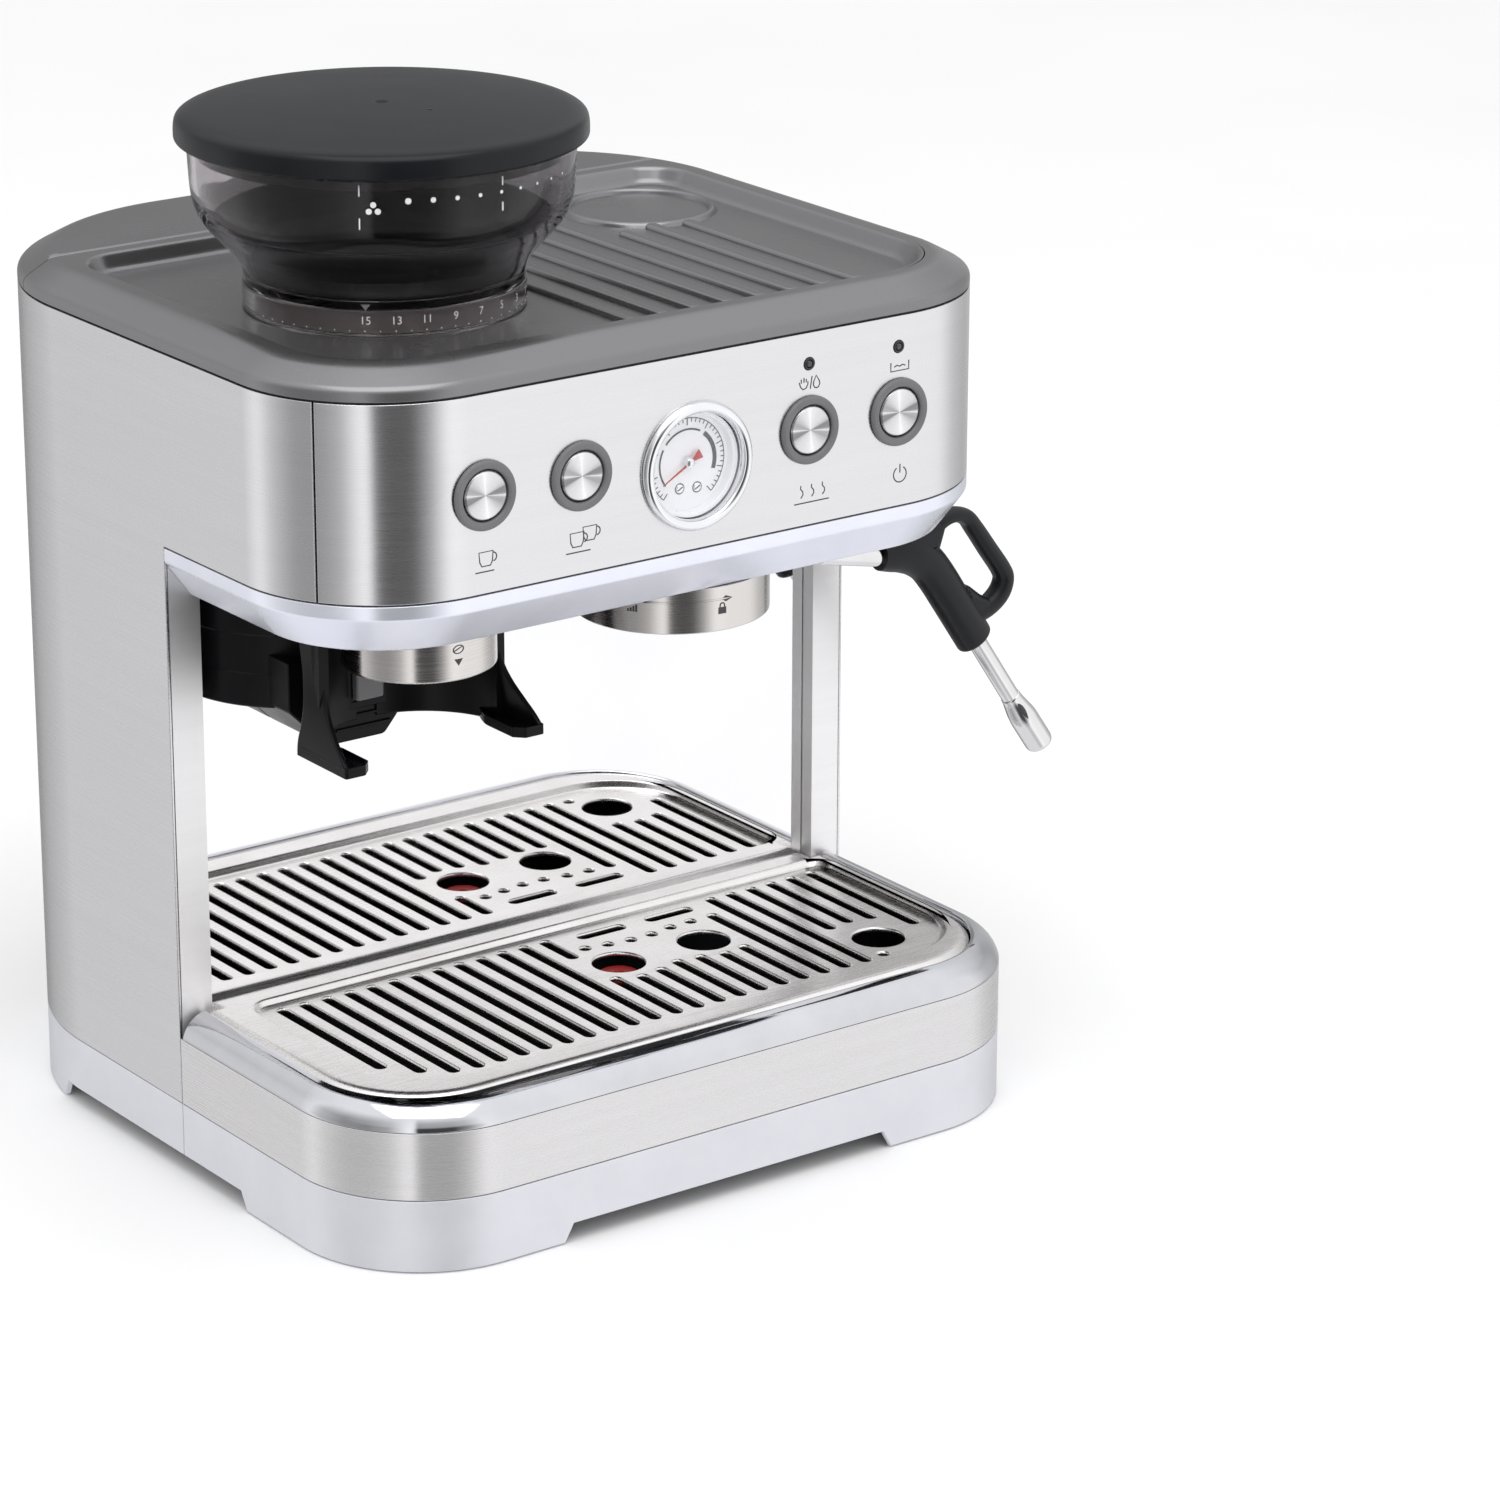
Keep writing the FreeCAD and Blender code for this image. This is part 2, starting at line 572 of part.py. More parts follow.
lid_points = [(0, "lid_level + lid_height - 2.6"), (66, "lid_level + 6.6"), (66, "lid_level - 5"),
              (68, "lid_level - 5"),
              (68, "lid_level + 0.2"), ("lid_radius - 0.7", "lid_level + 0.2"),
              ("lid_radius", "lid_level + 1.2"),
              ("lid_radius", "lid_level + 5.5"), ("lid_radius - 0.7", "lid_level + 8"),
              ("lid_radius - 2.6", "lid_level + 9.6"),
              ("lid_radius - 8", "lid_level + 10.4"), (0, "lid_level + lid_height")]
node("hopper_lid", turned("hopper_cap", lid_points, "hopper_x", "hopper_y"), "lid of the bean hopper")

# ---------------------------------------------------------------- grinder
chute_angle = "atan2(outlet_y - hopper_y; outlet_x - hopper_x)"
chute_length = "sqrt((outlet_x - hopper_x)^2 + (outlet_y - hopper_y)^2)"


def chute(name, width, low, high):
    """The level passage from the burrs to the outlet."""
    thing = doc.addObject("Part::Box", name)
    bind(thing, "Length", chute_length)
    bind(thing, "Width", width)
    bind(thing, "Height", f"({high}) - ({low})")
    thing.Placement.Rotation = Rotation(Vector(0, 0, 1), 10)
    bind(thing, ".Placement.Rotation.Angle", chute_angle)
    place(thing, f"hopper_x + {width / 2} * sin({chute_angle})",
          f"hopper_y - {width / 2} * cos({chute_angle})", low)
    return thing


housing_out = fuse("housing_out", rod("housing_drum", 42, "hopper_x", "hopper_y", 250, 299.4),
                   chute("housing_arm", 32, 250, 267),
                   rod("housing_spout", 24, "outlet_x", "outlet_y", "collar_bottom + 2", 267))
housing_in = fuse("housing_in", rod("drum_bore", 38, "hopper_x", "hopper_y", 252.6, 300),
                  chute("arm_bore", 26, 252.6, 264.5),
                  rod("spout_bore", 20, "outlet_x", "outlet_y", "collar_bottom", 264.5))
shaft_hole = rod("shaft_hole", 6, "hopper_x", "hopper_y", 245, 260)
node("grinder_housing", cut("housing", housing_out, housing_in, shaft_hole),
     "housing of the grinder and its chute")
motor = fuse("motor", rod("motor_can", 30, "hopper_x", 50, 105, 232),
             rod("motor_end", 12, "hopper_x", 50, 98, 106),
             box("gearbox", "hopper_x - 31", "hopper_x + 31", -34, 81, 231.4, 249.6))
node("grinder_motor", motor, "grinder motor and gearbox")
node("burr_ring", turned("burr_ring_turned", [(24, 266), (37.4, 266), (37.4, 286), (28, 286), (24, 276)],
                         "hopper_x", "hopper_y"),
     "outer burr")
node("burr_cone", turned("burr_cone_turned", [(0, 250), (4, 250), (4, 262), (22, 262), (23.2, 266),
                                              (21, 278), (12, 292), (5, 296), (0, 296)],
                         "hopper_x", "hopper_y"), "inner burr on its shaft")
node("outlet_collar", turned("outlet_sleeve", [(24.4, "collar_bottom"), ("outlet_radius", "collar_bottom"),
                                               ("outlet_radius", "ceiling_level + 0.1"),
                                               (24.4, "ceiling_level + 0.1")],
                             "outlet_x", "outlet_y"), "bright collar of the grinder's outlet")

# cradle: a horseshoe round the outlet, two arms that end in level feet, and a block that holds the plunger
shoe = cut("shoe", rod("shoe_out", "shoe_radius + 4", "outlet_x", "outlet_y", "foot_top - 3",
                       "ceiling_level"),
           rod("shoe_in", "shoe_radius", "outlet_x", "outlet_y", 150, 240),
           box("shoe_open", -160, 0, -160, "outlet_y + 4", 150, 240))
arms = []
for name, side in (("left", -1), ("right", 1)):
    points = [(-87.4, "foot_top - 3"), (-87.4, "foot_top"), (-82, 186), (-76, 190.5), (-70, 196),
              (-66.5, 202), (-64, 209),
              (-62.6, 218), (-62, "ceiling_level"), (-46, "ceiling_level"), (-46, 190), (-53, "foot_top"),
              (-53, "foot_top - 3")]
    arm_line = profile(f"arm_{name}_line", points)
    arm_line.Placement.Rotation = Rotation(Vector(1, 1, 1), 120)
    place(arm_line, f"outlet_x + {side} * (arm_reach - arm_wall / 2) - arm_wall / 2", 0, 0)
    bind(arm_line, ".Placement.Base.y", "-centre_y")
    arms.append(prism(f"arm_{name}", arm_line, "arm_wall"))
    inner, outer = f"outlet_x + {side} * (arm_reach - 12)", f"outlet_x + {side} * arm_reach"
    low_x, high_x = (outer, inner) if side < 0 else (inner, outer)
    arms.append(box(f"arm_foot_{name}", low_x, high_x, -87.4, -53, "foot_top - 3", "foot_top"))
block_line = profile("block_line", [(-124, 187), (-108, 170.8), (-82.6, 170.8), (-76, 178.4), (-76, 206),
                                    (-124, 206)])
block_line.Placement.Rotation = Rotation(Vector(1, 0, 0), 90)
place(block_line, 0, "mirror_face - gap", 0)
block = cut("block", prism("block_body", block_line, 40),
            rod("block_bore", "shoe_radius", "outlet_x", "outlet_y", 150, 240))
drum = cut("cradle_drum", rod("drum_whole", 48, "outlet_x", 15, 185, "ceiling_level"),
           box("drum_behind", -160, 0, "mirror_face - gap", 80, 150, 240),
           rod("drum_front", "shoe_radius", "outlet_x", "outlet_y", 150, 240))
cradle = cut("cradle", fuse("cradle_whole", shoe, block, drum, *arms),
             box("plunger_room", "outlet_x - 6.5", "outlet_x + 6.5", -46, -14, 186.5, 206))
node("portafilter_cradle", cradle, "cradle that holds the portafilter under the outlet")
node("grind_plunger", box("plunger", "outlet_x - 6", "outlet_x + 6", -37, -20, 187, 205.5),
     "plunger that starts the grinder")

# ---------------------------------------------------------------- brew group
node("lock_ring", turned("lock", [("lock_bore", "collar_bottom"), ("lock_radius", "collar_bottom"),
                                  ("lock_radius", "ceiling_level + 0.1"),
                                  ("lock_bore - 1.1", "ceiling_level + 0.1"),
                                  ("lock_bore - 1.1", "collar_bottom + 8"),
                                  ("lock_bore", "collar_bottom + 8")],
                         "group_x", "outlet_y"), "lock ring of the brew group")
node("group_gasket", turned("gasket", [(27, 219.6), (34.2, 219.6), (34.2, 225), (27, 225)], "group_x",
                            "outlet_y"), "group gasket")
node("shower_screen", turned("screen", [(0, 220.2), (23, 220.2), (26.4, 221.4), (26.4, 225), (24.6, 225),
                                        (24.6, 222), (0, 221.6)],
                             "group_x", "outlet_y"), "shower screen")
node("group_housing", fuse("group", rod("group_body", 31, "group_x", "outlet_y", 225.2, 252),
                           rod("group_neck", 22, "group_x", "outlet_y", 250, 261.5)), "cast brew group")
node("boiler", fuse("boiler_whole", box("boiler_block", 4, 84, -74, 12, 262, 292),
                    rod_across("boiler_element", 6, -30, 294, 10, 78),
                    rod("boiler_port", 7, 70, 2, 292, 304)), "heating block")
pump = fuse("pump_whole", rod_across("pump_body", 19, 55, 92, 50, 108),
            rod_across("pump_end", 9, 55, 92, 34, 126))
node("pump", pump, "vibrating pump")

# ---------------------------------------------------------------- steam wand
node("wand_seat", turned("seat", [(7.4, 220.4), (9, 219.4), (12.5, 221), (13.5, "ceiling_level + 0.1"),
                                  (7.4, "ceiling_level + 0.1")],
                         "wand_x", "wand_y"), "seat of the wand's swivel")
pipe_run = fuse("pipe_run", rod("pipe_top", "wand_radius", "wand_x", "wand_y", "elbow_z", 252),
                ball("pipe_ball", 6.9, "wand_x", "wand_y", 225),
                ball("pipe_elbow", "wand_radius", "wand_x", "wand_y", "elbow_z"),
                pipe("pipe_arm", "wand_radius", "wand_x", "elbow_z", "grip_x", "grip_z", "wand_y"),
                ball("pipe_bend", "wand_radius", "grip_x", "wand_y", "grip_z"),
                pipe("pipe_mid", "wand_radius", "grip_x", "grip_z", "bend_x", "bend_z", "wand_y"),
                ball("pipe_knee", "wand_radius", "bend_x", "wand_y", "bend_z"),
                pipe("pipe_end", "wand_radius", "bend_x", "bend_z", "nozzle_x", "nozzle_z", "wand_y"))
node("wand_tube", pipe_run, "steam pipe")
grip_line = profile("grip_line", [(131.6, 200.2), (134.6, 211.2), (142, 213.2), (152, 216.6), (160, 218.6),
                                  (166.5, 219.5),
                                  (173, 219), (178, 216.4), (182, 212), (198, 190.4), (199.6, 186.6),
                                  (199.7, 182.6),
                                  (198, 178.4), (194.4, 174.8), (189, 171.6), (188.8, 168.4),
                                  (187.2, 166.2), (176, 158.8),
                                  (173.4, 161), (163.3, 176.3), (153.7, 189.9), (150.6, 193.4), (147, 196),
                                  (143.4, 197.4)])
grip_hole = profile("grip_hole", [(162.8, 205.4), (163.2, 209.6), (166.6, 212.4), (169.8, 213.2),
                                  (172.6, 212.2), (175.4, 209.8),
                                  (190.4, 189.6), (191.6, 186.8), (191.2, 183.8), (188.8, 180.6),
                                  (185.4, 179.4), (182.6, 180.2),
                                  (174, 187), (164.4, 201.8)])
for line, near in ((grip_line, 6.5), (grip_hole, 9)):
    line.Placement.Rotation = Rotation(Vector(1, 0, 0), 90)
    place(line, 0, f"wand_y + {near}", 0)
grip = cut("grip", prism("grip_block", grip_line, 13), prism("grip_window", grip_hole, 18),
           pipe("grip_bore_a", "wand_radius + 0.2", "wand_x", "elbow_z", "grip_x", "grip_z", "wand_y"),
           ball("grip_bore_b", "wand_radius + 0.2", "grip_x", "wand_y", "grip_z"),
           pipe("grip_bore_c", "wand_radius + 0.2", "grip_x", "grip_z", "bend_x", "bend_z", "wand_y"),
           ball("grip_bore_d", "wand_radius + 0.2", "bend_x", "wand_y", "bend_z"),
           pipe("grip_bore_e", "wand_radius + 0.2", "bend_x", "bend_z", "nozzle_x", "nozzle_z", "wand_y"))
node("wand_grip", grip, "grip of the steam wand")
nozzle = doc.addObject("Part::Cone", "nozzle")
nozzle.Radius1 = 4.6
bind(nozzle, "Radius2", "tip_radius")
leaning(nozzle, "nozzle_x + 0.2", "nozzle_z - 0.3", "tip_x", "tip_z", "wand_y")
node("wand_tip", cut("nozzle_whole", nozzle, pipe("nozzle_bore", 1.2, "nozzle_x", "nozzle_z", "tip_x + 2",
                                                  "tip_z - 3", "wand_y")), "nozzle of the steam wand")

# ---------------------------------------------------------------- front controls
for name, x in button_places:
    node(name + "_bezel", turned(name + "_ring", [(9.7, 0), (10.4, -0.6), (12.4, -0.6), (13, 0), (13, 1.2),
                                                  (11.2, 1.2), (11.2, 9), (9.7, 9)],
                                 x, "-head_front - 1.4", "button_z", back=True), "ring round a button")
    node(name + "_button", turned(name + "_cap", [(0, 0.3), (8.4, 0), (9.1, 0.6), (9.1, 8), (0, 8)], x,
                                  "-head_front - 1.4", "button_z",
                                  back=True), "push button")
for name, x in light_places:
    node(name + "_light", turned(name + "_lamp", [(0, 0), (1.4, 0.2), (2.1, 0.9), (2.1, 6), (0, 6)], x,
                                 "-head_front - 0.7", "light_z",
                                 back=True), "indicator light")
node("gauge_bezel", turned("gauge_case", [(19.9, 1.4), (20.6, 0), (23.2, 0), (24.3, 1.4), (24.3, 3),
                                          (21.8, 3), (21.8, 20), (0, 20), (0, 18.4),
                                          (20.3, 18.4), (20.3, 3), (19.9, 3)], 0, "-head_front - 3.2",
                                          "gauge_z", back=True),
     "case and bright bezel of the gauge")
node("gauge_dial", turned("dial", [(0, 9), (19.8, 9), (19.8, 10), (0, 10)], 0, "-head_front - 3.2",
                          "gauge_z", back=True), "dial of the gauge")
node("gauge_lens", turned("lens", [(0, 3.4), (20, 3.4), (20, 4.6), (0, 4.6)], 0, "-head_front - 3.2",
                          "gauge_z", back=True), "window of the gauge")
needle_blade = doc.addObject("Part::Cone", "needle_blade")
needle_blade.Radius1, needle_blade.Radius2 = 0.9, 0.25
leaning(needle_blade, 5.2, "gauge_z + 3", -12.2, "gauge_z - 7", "-head_front + 4.3")
needle = fuse("needle", rod_back("needle_hub", 1.9, 0, "gauge_z", "-head_front + 3.4",
                                 "-head_front + 5.2"), needle_blade)
node("gauge_needle", needle, "needle of the gauge")

# ---------------------------------------------------------------- drip tray
front_part = ahead("tray_front", "pillar_front - gap")
tray_skirt = common("tray_skirt_cut", base_ring("tray_skirt_ring", "plastic_wall", "skirt_level",
                                                "band_level"), front_part)
front_foot = common("front_foot", base_ring("front_foot_ring", "plastic_wall", "foot_level",
                                            "skirt_level + 0.1"),
                    fuse("front_foot_where", box("front_foot_left", -160, -76, -145, -43, 0, 20),
                         box("front_foot_right", 76, 160, -145, -43, 0, 20)))
node("tray_skirt", fuse("tray_skirt_whole", tray_skirt, front_foot), "skirt at the front of the tray")
node("tray_band", common("band", base_ring("band_ring", "panel_wall", "band_level + 0.3",
                                           "collar_level - 0.2"),
                         ahead("band_front", "pillar_front - gap")), "brushed band of the tray")


def collar_line(name, side_inset, front_inset, level):
    return outline(name, f"half_width - ({side_inset})", f"-(base_front - ({front_inset}))", "10",
                   f"base_corner - ({front_inset})", 4, level)


collar_out = fuse("collar_out",
                  prism("collar_lip", collar_line("collar_a", 0, 0, "collar_level"), 1.3),
                  loft("collar_low", collar_line("collar_b", 0, 0, "collar_level + 1.3"),
                       collar_line("collar_c", 2.1, 2.6, "collar_level + 5.2")),
                  loft("collar_mid", collar_line("collar_d", 2.1, 2.6, "collar_level + 5.2"),
                       collar_line("collar_e", 6, 7.4, "collar_level + 8.4")),
                  loft("collar_high", collar_line("collar_f", 6, 7.4, "collar_level + 8.4"),
                       collar_line("collar_g", 9.6, 12, "collar_level + 9.8")))
collar_in = loft("collar_in", collar_line("collar_h", 2.6, 3.2, "collar_level - 1"),
                 collar_line("collar_i", 9.4, 11.6, "collar_level + 6.4"))
grille_room = prism("grille_room", outline("grille_room_line", "grille_side + gap", "-grille_front - gap",
                                           "20", "grille_corner + gap", 4,
                                           "slot_level - 1.8"), 20)
ledge = cut("ledge", prism("ledge_out", collar_line("ledge_a", 6, 8, "slot_level - 3.4"), 1.6),
            prism("ledge_in", collar_line("ledge_b", 15, 18, "slot_level - 5"), 6))
node("tray_collar", cut("collar", fuse("collar_whole", cut("collar_shell", collar_out, collar_in,
                                                           grille_room), ledge),
                        behind("collar_back", "pillar_front - 2.4")), "bright collar of the tray")

pan_out = common("pan_out", prism("pan_a", base("pan_a_line", 3, "skirt_level + 4.2"),
                                  "collar_level - skirt_level - 5"),
                 ahead("pan_b", "pillar_front - 2"))
pan_in = common("pan_in", prism("pan_c", base("pan_c_line", 5.4, "skirt_level + 6.4"), 80),
                ahead("pan_d", "pillar_front - 4.4"))
node("tray_pan", cut("pan", pan_out, pan_in), "drip pan")

plate = prism("plate", outline("plate_line", "grille_side", "-grille_front", "mirror_face - 0.6",
                               "grille_corner", 4, "slot_level - 1.2"),
              "rim_level - slot_level + 1.2")
sunk = prism("sunk", outline("sunk_line", 134.6, -110, -8.5, 34, 8, "slot_level"), 10)
sunk_at = sunk.Base
place(sunk_at, 5.4, 0, "slot_level")
openings = []


def slot(name, x, y0, y1):
    """A slot with round ends that runs from front to back."""
    openings.append(box(name, f"({x}) - slot_width / 2", f"({x}) + slot_width / 2", y0, y1,
                        "slot_level - 3", "slot_level + 3"))
    openings.append(rod(name + "_front", "slot_width / 2", x, y0, "slot_level - 3", "slot_level + 3"))
    openings.append(rod(name + "_back", "slot_width / 2", x, y1, "slot_level - 3", "slot_level + 3"))


# front ends of the slots that follow the rounded corners, and of those that stop at the round holes
front_end = {0: -82, 1: -93.6, 2: -100.6, 22: -66.5, 23: -64.6, 24: -66.6, 25: -81}
middle_front = {12: -60.4, 13: -64, 14: -62.6, 15: -59.4, 16: -60.8, 17: -63.2, 18: -62}
for k in range(26):
    x = f"slot_start + {k} * slot_pitch"
    y_front = front_end.get(k, -102)
    if k in middle_front:
        slot(f"slot_{k}", x, y_front, middle_front[k] - 2)
        if k == 12:
            slot(f"slot_{k}_rear", x, -33, -14.6)
    elif k == 19:
        slot(f"slot_{k}", x, y_front, -29.4)
    else:
        slot(f"slot_{k}", x, y_front, -14.6)
for k, x in enumerate((25.5, 58)):
    openings.append(box(f"oblong_{k}", x - 8.5, x + 8.5, -20.3, -15.3, "slot_level - 3", "slot_level + 3"))
    openings.append(rod(f"oblong_left_{k}", 2.5, x - 8.5, -17.8, "slot_level - 3", "slot_level + 3"))
    openings.append(rod(f"oblong_right_{k}", 2.5, x + 8.5, -17.8, "slot_level - 3", "slot_level + 3"))
for k, (x, y) in enumerate(((10.2, -28.7), (20, -30.2), (30, -31.6), (40.1, -31.4), (50.4, -29.6),
                            (60.6, -29), (100.7, -101.2))):
    openings.append(rod(f"small_hole_{k}", 2.2, x, y, "slot_level - 3", "slot_level + 3"))
for k, (x, y) in enumerate(((12.4, -48.3), (52.7, -48.7), (109.8, -86.3))):
    openings.append(rod(f"drain_{k}", "drain_radius", x, y, "slot_level - 3", "slot_level + 3"))
holes_all = doc.addObject("Part::MultiFuse", "holes_all")
holes_all.Shapes = openings
corner_left = box("plate_corner_left", -170, "-half_width + jamb_width + 0.6", "pillar_front - 0.9", 20,
                  40, 90)
corner_right = box("plate_corner_right", "half_width - jamb_width - 0.6", 170, "pillar_front - 0.9", 20,
                   40, 90)
node("drip_grille", cut("grille", cut("plate_sunk", plate, sunk, corner_left, corner_right), holes_all),
     "stamped drip grille")
node("tray_float", turned("float", [(0, "skirt_level + 7"), (8.2, "skirt_level + 7"), (8.6, 50),
                                    (8.6, 56.5), (7.6, 58), (0, 58)], 12.4, -48.3),
     "float that shows the tray is full")

# ---------------------------------------------------------------- check and export
doc.recompute()
problems = []
for item in doc.Objects:
    if any(word in item.State for word in ("Invalid", "Error")):
        problems.append(f"{item.Name}: {item.State}")
for name, thing in nodes:
    shape = thing.Shape
    if shape.isNull() or not shape.isValid() or len(shape.Solids) != 1:
        sound = shape.isNull() or shape.isValid()
        problems.append(f"{name}: null {shape.isNull()}, valid {sound}, solids {len(shape.Solids)}")
if problems:
    raise SystemExit("\n".join(problems))
os.makedirs("parts", exist_ok=True)
for name, thing in nodes:
    thing.Shape.exportStep(f"parts/{name}.step")
print(len(nodes), "pieces exported")
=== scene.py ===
import json
import math

import bmesh
import bpy
from mathutils import Matrix, Vector

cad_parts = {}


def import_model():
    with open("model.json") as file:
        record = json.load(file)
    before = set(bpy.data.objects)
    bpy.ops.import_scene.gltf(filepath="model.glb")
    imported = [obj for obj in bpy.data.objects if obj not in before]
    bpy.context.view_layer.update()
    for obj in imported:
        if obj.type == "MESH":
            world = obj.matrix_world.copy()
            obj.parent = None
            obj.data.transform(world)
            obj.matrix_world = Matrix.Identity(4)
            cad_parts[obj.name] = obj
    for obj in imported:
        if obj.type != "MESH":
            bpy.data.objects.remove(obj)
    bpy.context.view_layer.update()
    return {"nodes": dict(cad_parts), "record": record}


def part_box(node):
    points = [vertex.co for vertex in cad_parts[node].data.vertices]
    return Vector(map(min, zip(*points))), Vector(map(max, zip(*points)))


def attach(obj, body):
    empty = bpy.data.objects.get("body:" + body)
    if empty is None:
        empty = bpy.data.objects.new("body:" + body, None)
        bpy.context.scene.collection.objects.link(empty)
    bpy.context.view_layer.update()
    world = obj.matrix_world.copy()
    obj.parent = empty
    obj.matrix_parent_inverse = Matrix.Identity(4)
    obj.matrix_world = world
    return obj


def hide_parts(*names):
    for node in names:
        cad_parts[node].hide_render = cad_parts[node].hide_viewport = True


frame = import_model()

# ---------------------------------------------------------------- places, from the frame
# All sizes are in mm. x is measured from the plane of symmetry of the machine's shell, y from the line
# that the pillars beside the cup space start behind, and z from the counter.
MM = 0.001


def raw(node):
    low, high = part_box(node)
    return [v / MM for v in low], [v / MM for v in high]


FACE_LOW, FACE_HIGH = raw("front_panel")
BAND_LOW = raw("tray_band")[0]
SIDE_LOW = raw("left_side_panel")[0]
PILLAR_Y = -0.8
MID_X = (FACE_LOW[0] + FACE_HIGH[0]) / 2
MID_Y = raw("left_jamb")[0][1] - PILLAR_Y


def span(node):
    """A node's box as x0, x1, y0, y1, z0, z1."""
    low, high = raw(node)
    return low[0] - MID_X, high[0] - MID_X, low[1] - MID_Y, high[1] - MID_Y, low[2], high[2]


def middle(node):
    x0, x1, y0, y1, z0, z1 = span(node)
    return (x0 + x1) / 2, (y0 + y1) / 2, (z0 + z1) / 2


HALF = (raw("right_side_panel")[1][0] - SIDE_LOW[0]) / 2
HEAD_FRONT = FACE_LOW[1] - MID_Y
BASE_FRONT = BAND_LOW[1] - MID_Y
BACK = span("rear_skirt")[3]
# the two shells: half width, front, back, and the radius of the front and the rear corners
HEAD = (HALF, HEAD_FRONT, BACK, 57.8, 94.0)
BASE = (HALF, BASE_FRONT, BACK, 53.9, 94.0)
SEAM_TURN = math.radians(33)

BAND_Z = BAND_LOW[2] - 0.3
COLLAR_Z = span("tray_collar")[4]
RIM_Z = span("drip_grille")[5]
SLOT_Z = RIM_Z - 2.7
PANEL_Z = FACE_LOW[2]
COVER_Z = FACE_HIGH[2] + 0.2
COVER_EDGE = COVER_Z + 0.6
CEILING_Z = span("front_trim")[4]
SHELF_Z = 327.0
CROWN_Z = span("tank_lid")[5]

BUTTONS = ("one_cup", "two_cup", "steam", "power")
LAMPS = ("steam_light", "descale_light")
HOPPER_X, HOPPER_Y, _ = middle("hopper_lid")
OUTLET_X, OUTLET_Y, _ = middle("outlet_collar")
GROUP_X = middle("lock_ring")[0]
COLLAR_BOTTOM = span("lock_ring")[4]
WAND_X, WAND_Y, _ = middle("wand_seat")


# ---------------------------------------------------------------- mesh helpers
AXIS_GAP = 1e-6      # mm; a turned profile that starts nearer to its axis than this starts on it


def metres(p):
    return Vector(((p[0] + MID_X) * MM, (p[1] + MID_Y) * MM, p[2] * MM))


def finish_piece(obj, body, material, nodes=(), sharp=40, weighted=True, slot=None):
    """Give a new piece its material and its body, and hide the CAD nodes that it stands for."""
    mesh = obj.data
    mesh.materials.clear()
    mesh.materials.append(material)
    mesh.polygons.foreach_set("use_smooth", [True] * len(mesh.polygons))
    mesh.set_sharp_from_angle(angle=math.radians(sharp))
    if weighted:
        even = obj.modifiers.new("even_normals", "WEIGHTED_NORMAL")
        even.keep_sharp = True
    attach(obj, body)
    if nodes:
        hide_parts(*nodes)
    slot or SLOT_OF[material.name]
    return obj


def new_object(name, mesh):
    obj = bpy.data.objects.new(name, mesh)
    bpy.context.scene.collection.objects.link(obj)
    return obj


def tidy(bm):
    bmesh.ops.remove_doubles(bm, verts=bm.verts, dist=0.004 * MM)
    bmesh.ops.dissolve_degenerate(bm, edges=bm.edges, dist=0.002 * MM)
    bmesh.ops.recalc_face_normals(bm, faces=bm.faces)


def from_points(name, points, faces, origin=None):
    """A mesh object from points in mm. Its origin is at the given point, or at the frame's."""
    bm = bmesh.new()
    shift = metres(origin) if origin else Vector()
    verts = [bm.verts.new(metres(p) - shift) for p in points]
    for f in faces:
        try:
            bm.faces.new([verts[k] for k in f])
        except ValueError:
            pass
    tidy(bm)
    mesh = bpy.data.meshes.new(name)
    bm.to_mesh(mesh)
    bm.free()
    obj = new_object(name, mesh)
    obj.location = shift
    return obj


def grid(rows, close_rows=False, close_columns=False, cap=False):
    """Points and faces of a sheet between rows of points; caps close the first and last row."""
    points = [p for row in rows for p in row]
    count, width = len(rows), len(rows[0])
    faces = []
    for i in range(count if close_rows else count - 1):
        for j in range(width if close_columns else width - 1):
            a, b = i * width + j, i * width + (j + 1) % width
            c, d = ((i + 1) % count) * width + (j + 1) % width, ((i + 1) % count) * width + j
            faces.append((a, b, c, d))
    if cap:
        faces.append(tuple(reversed(range(width))))
        faces.append(tuple(range((count - 1) * width, count * width)))
    return points, faces


def eased(points, radius, steps=3, closed=True):
    """A run of 2-D points with its corners rounded. A radius may be given per point."""
    count = len(points)
    radii = radius if isinstance(radius, (list, tuple)) else [radius] * count
    out = []
    for k, (b, r) in enumerate(zip(points, radii)):
        if r == 0 or (not closed and k in (0, count - 1)):
            out.append(tuple(b))
            continue
        a, c = Vector(points[k - 1]), Vector(points[(k + 1) % count])
        b = Vector(b)
        one, two = a - b, c - b
        start = b + one * min(r / one.length, 0.48)
        end = b + two * min(r / two.length, 0.48)
        for step in range(steps + 1):
            t = step / steps
            out.append(tuple(start * (1 - t) ** 2 + b * 2 * t * (1 - t) + end * t ** 2))
    return out


def sheet(name, rows, body, material, nodes=(), sharp=40, **closing):
    """A piece from rows of points. The closing says which ends meet and which are capped."""
    points, faces = grid(rows, **closing)
    return finish_piece(from_points(name, points, faces), body, material, nodes, sharp)


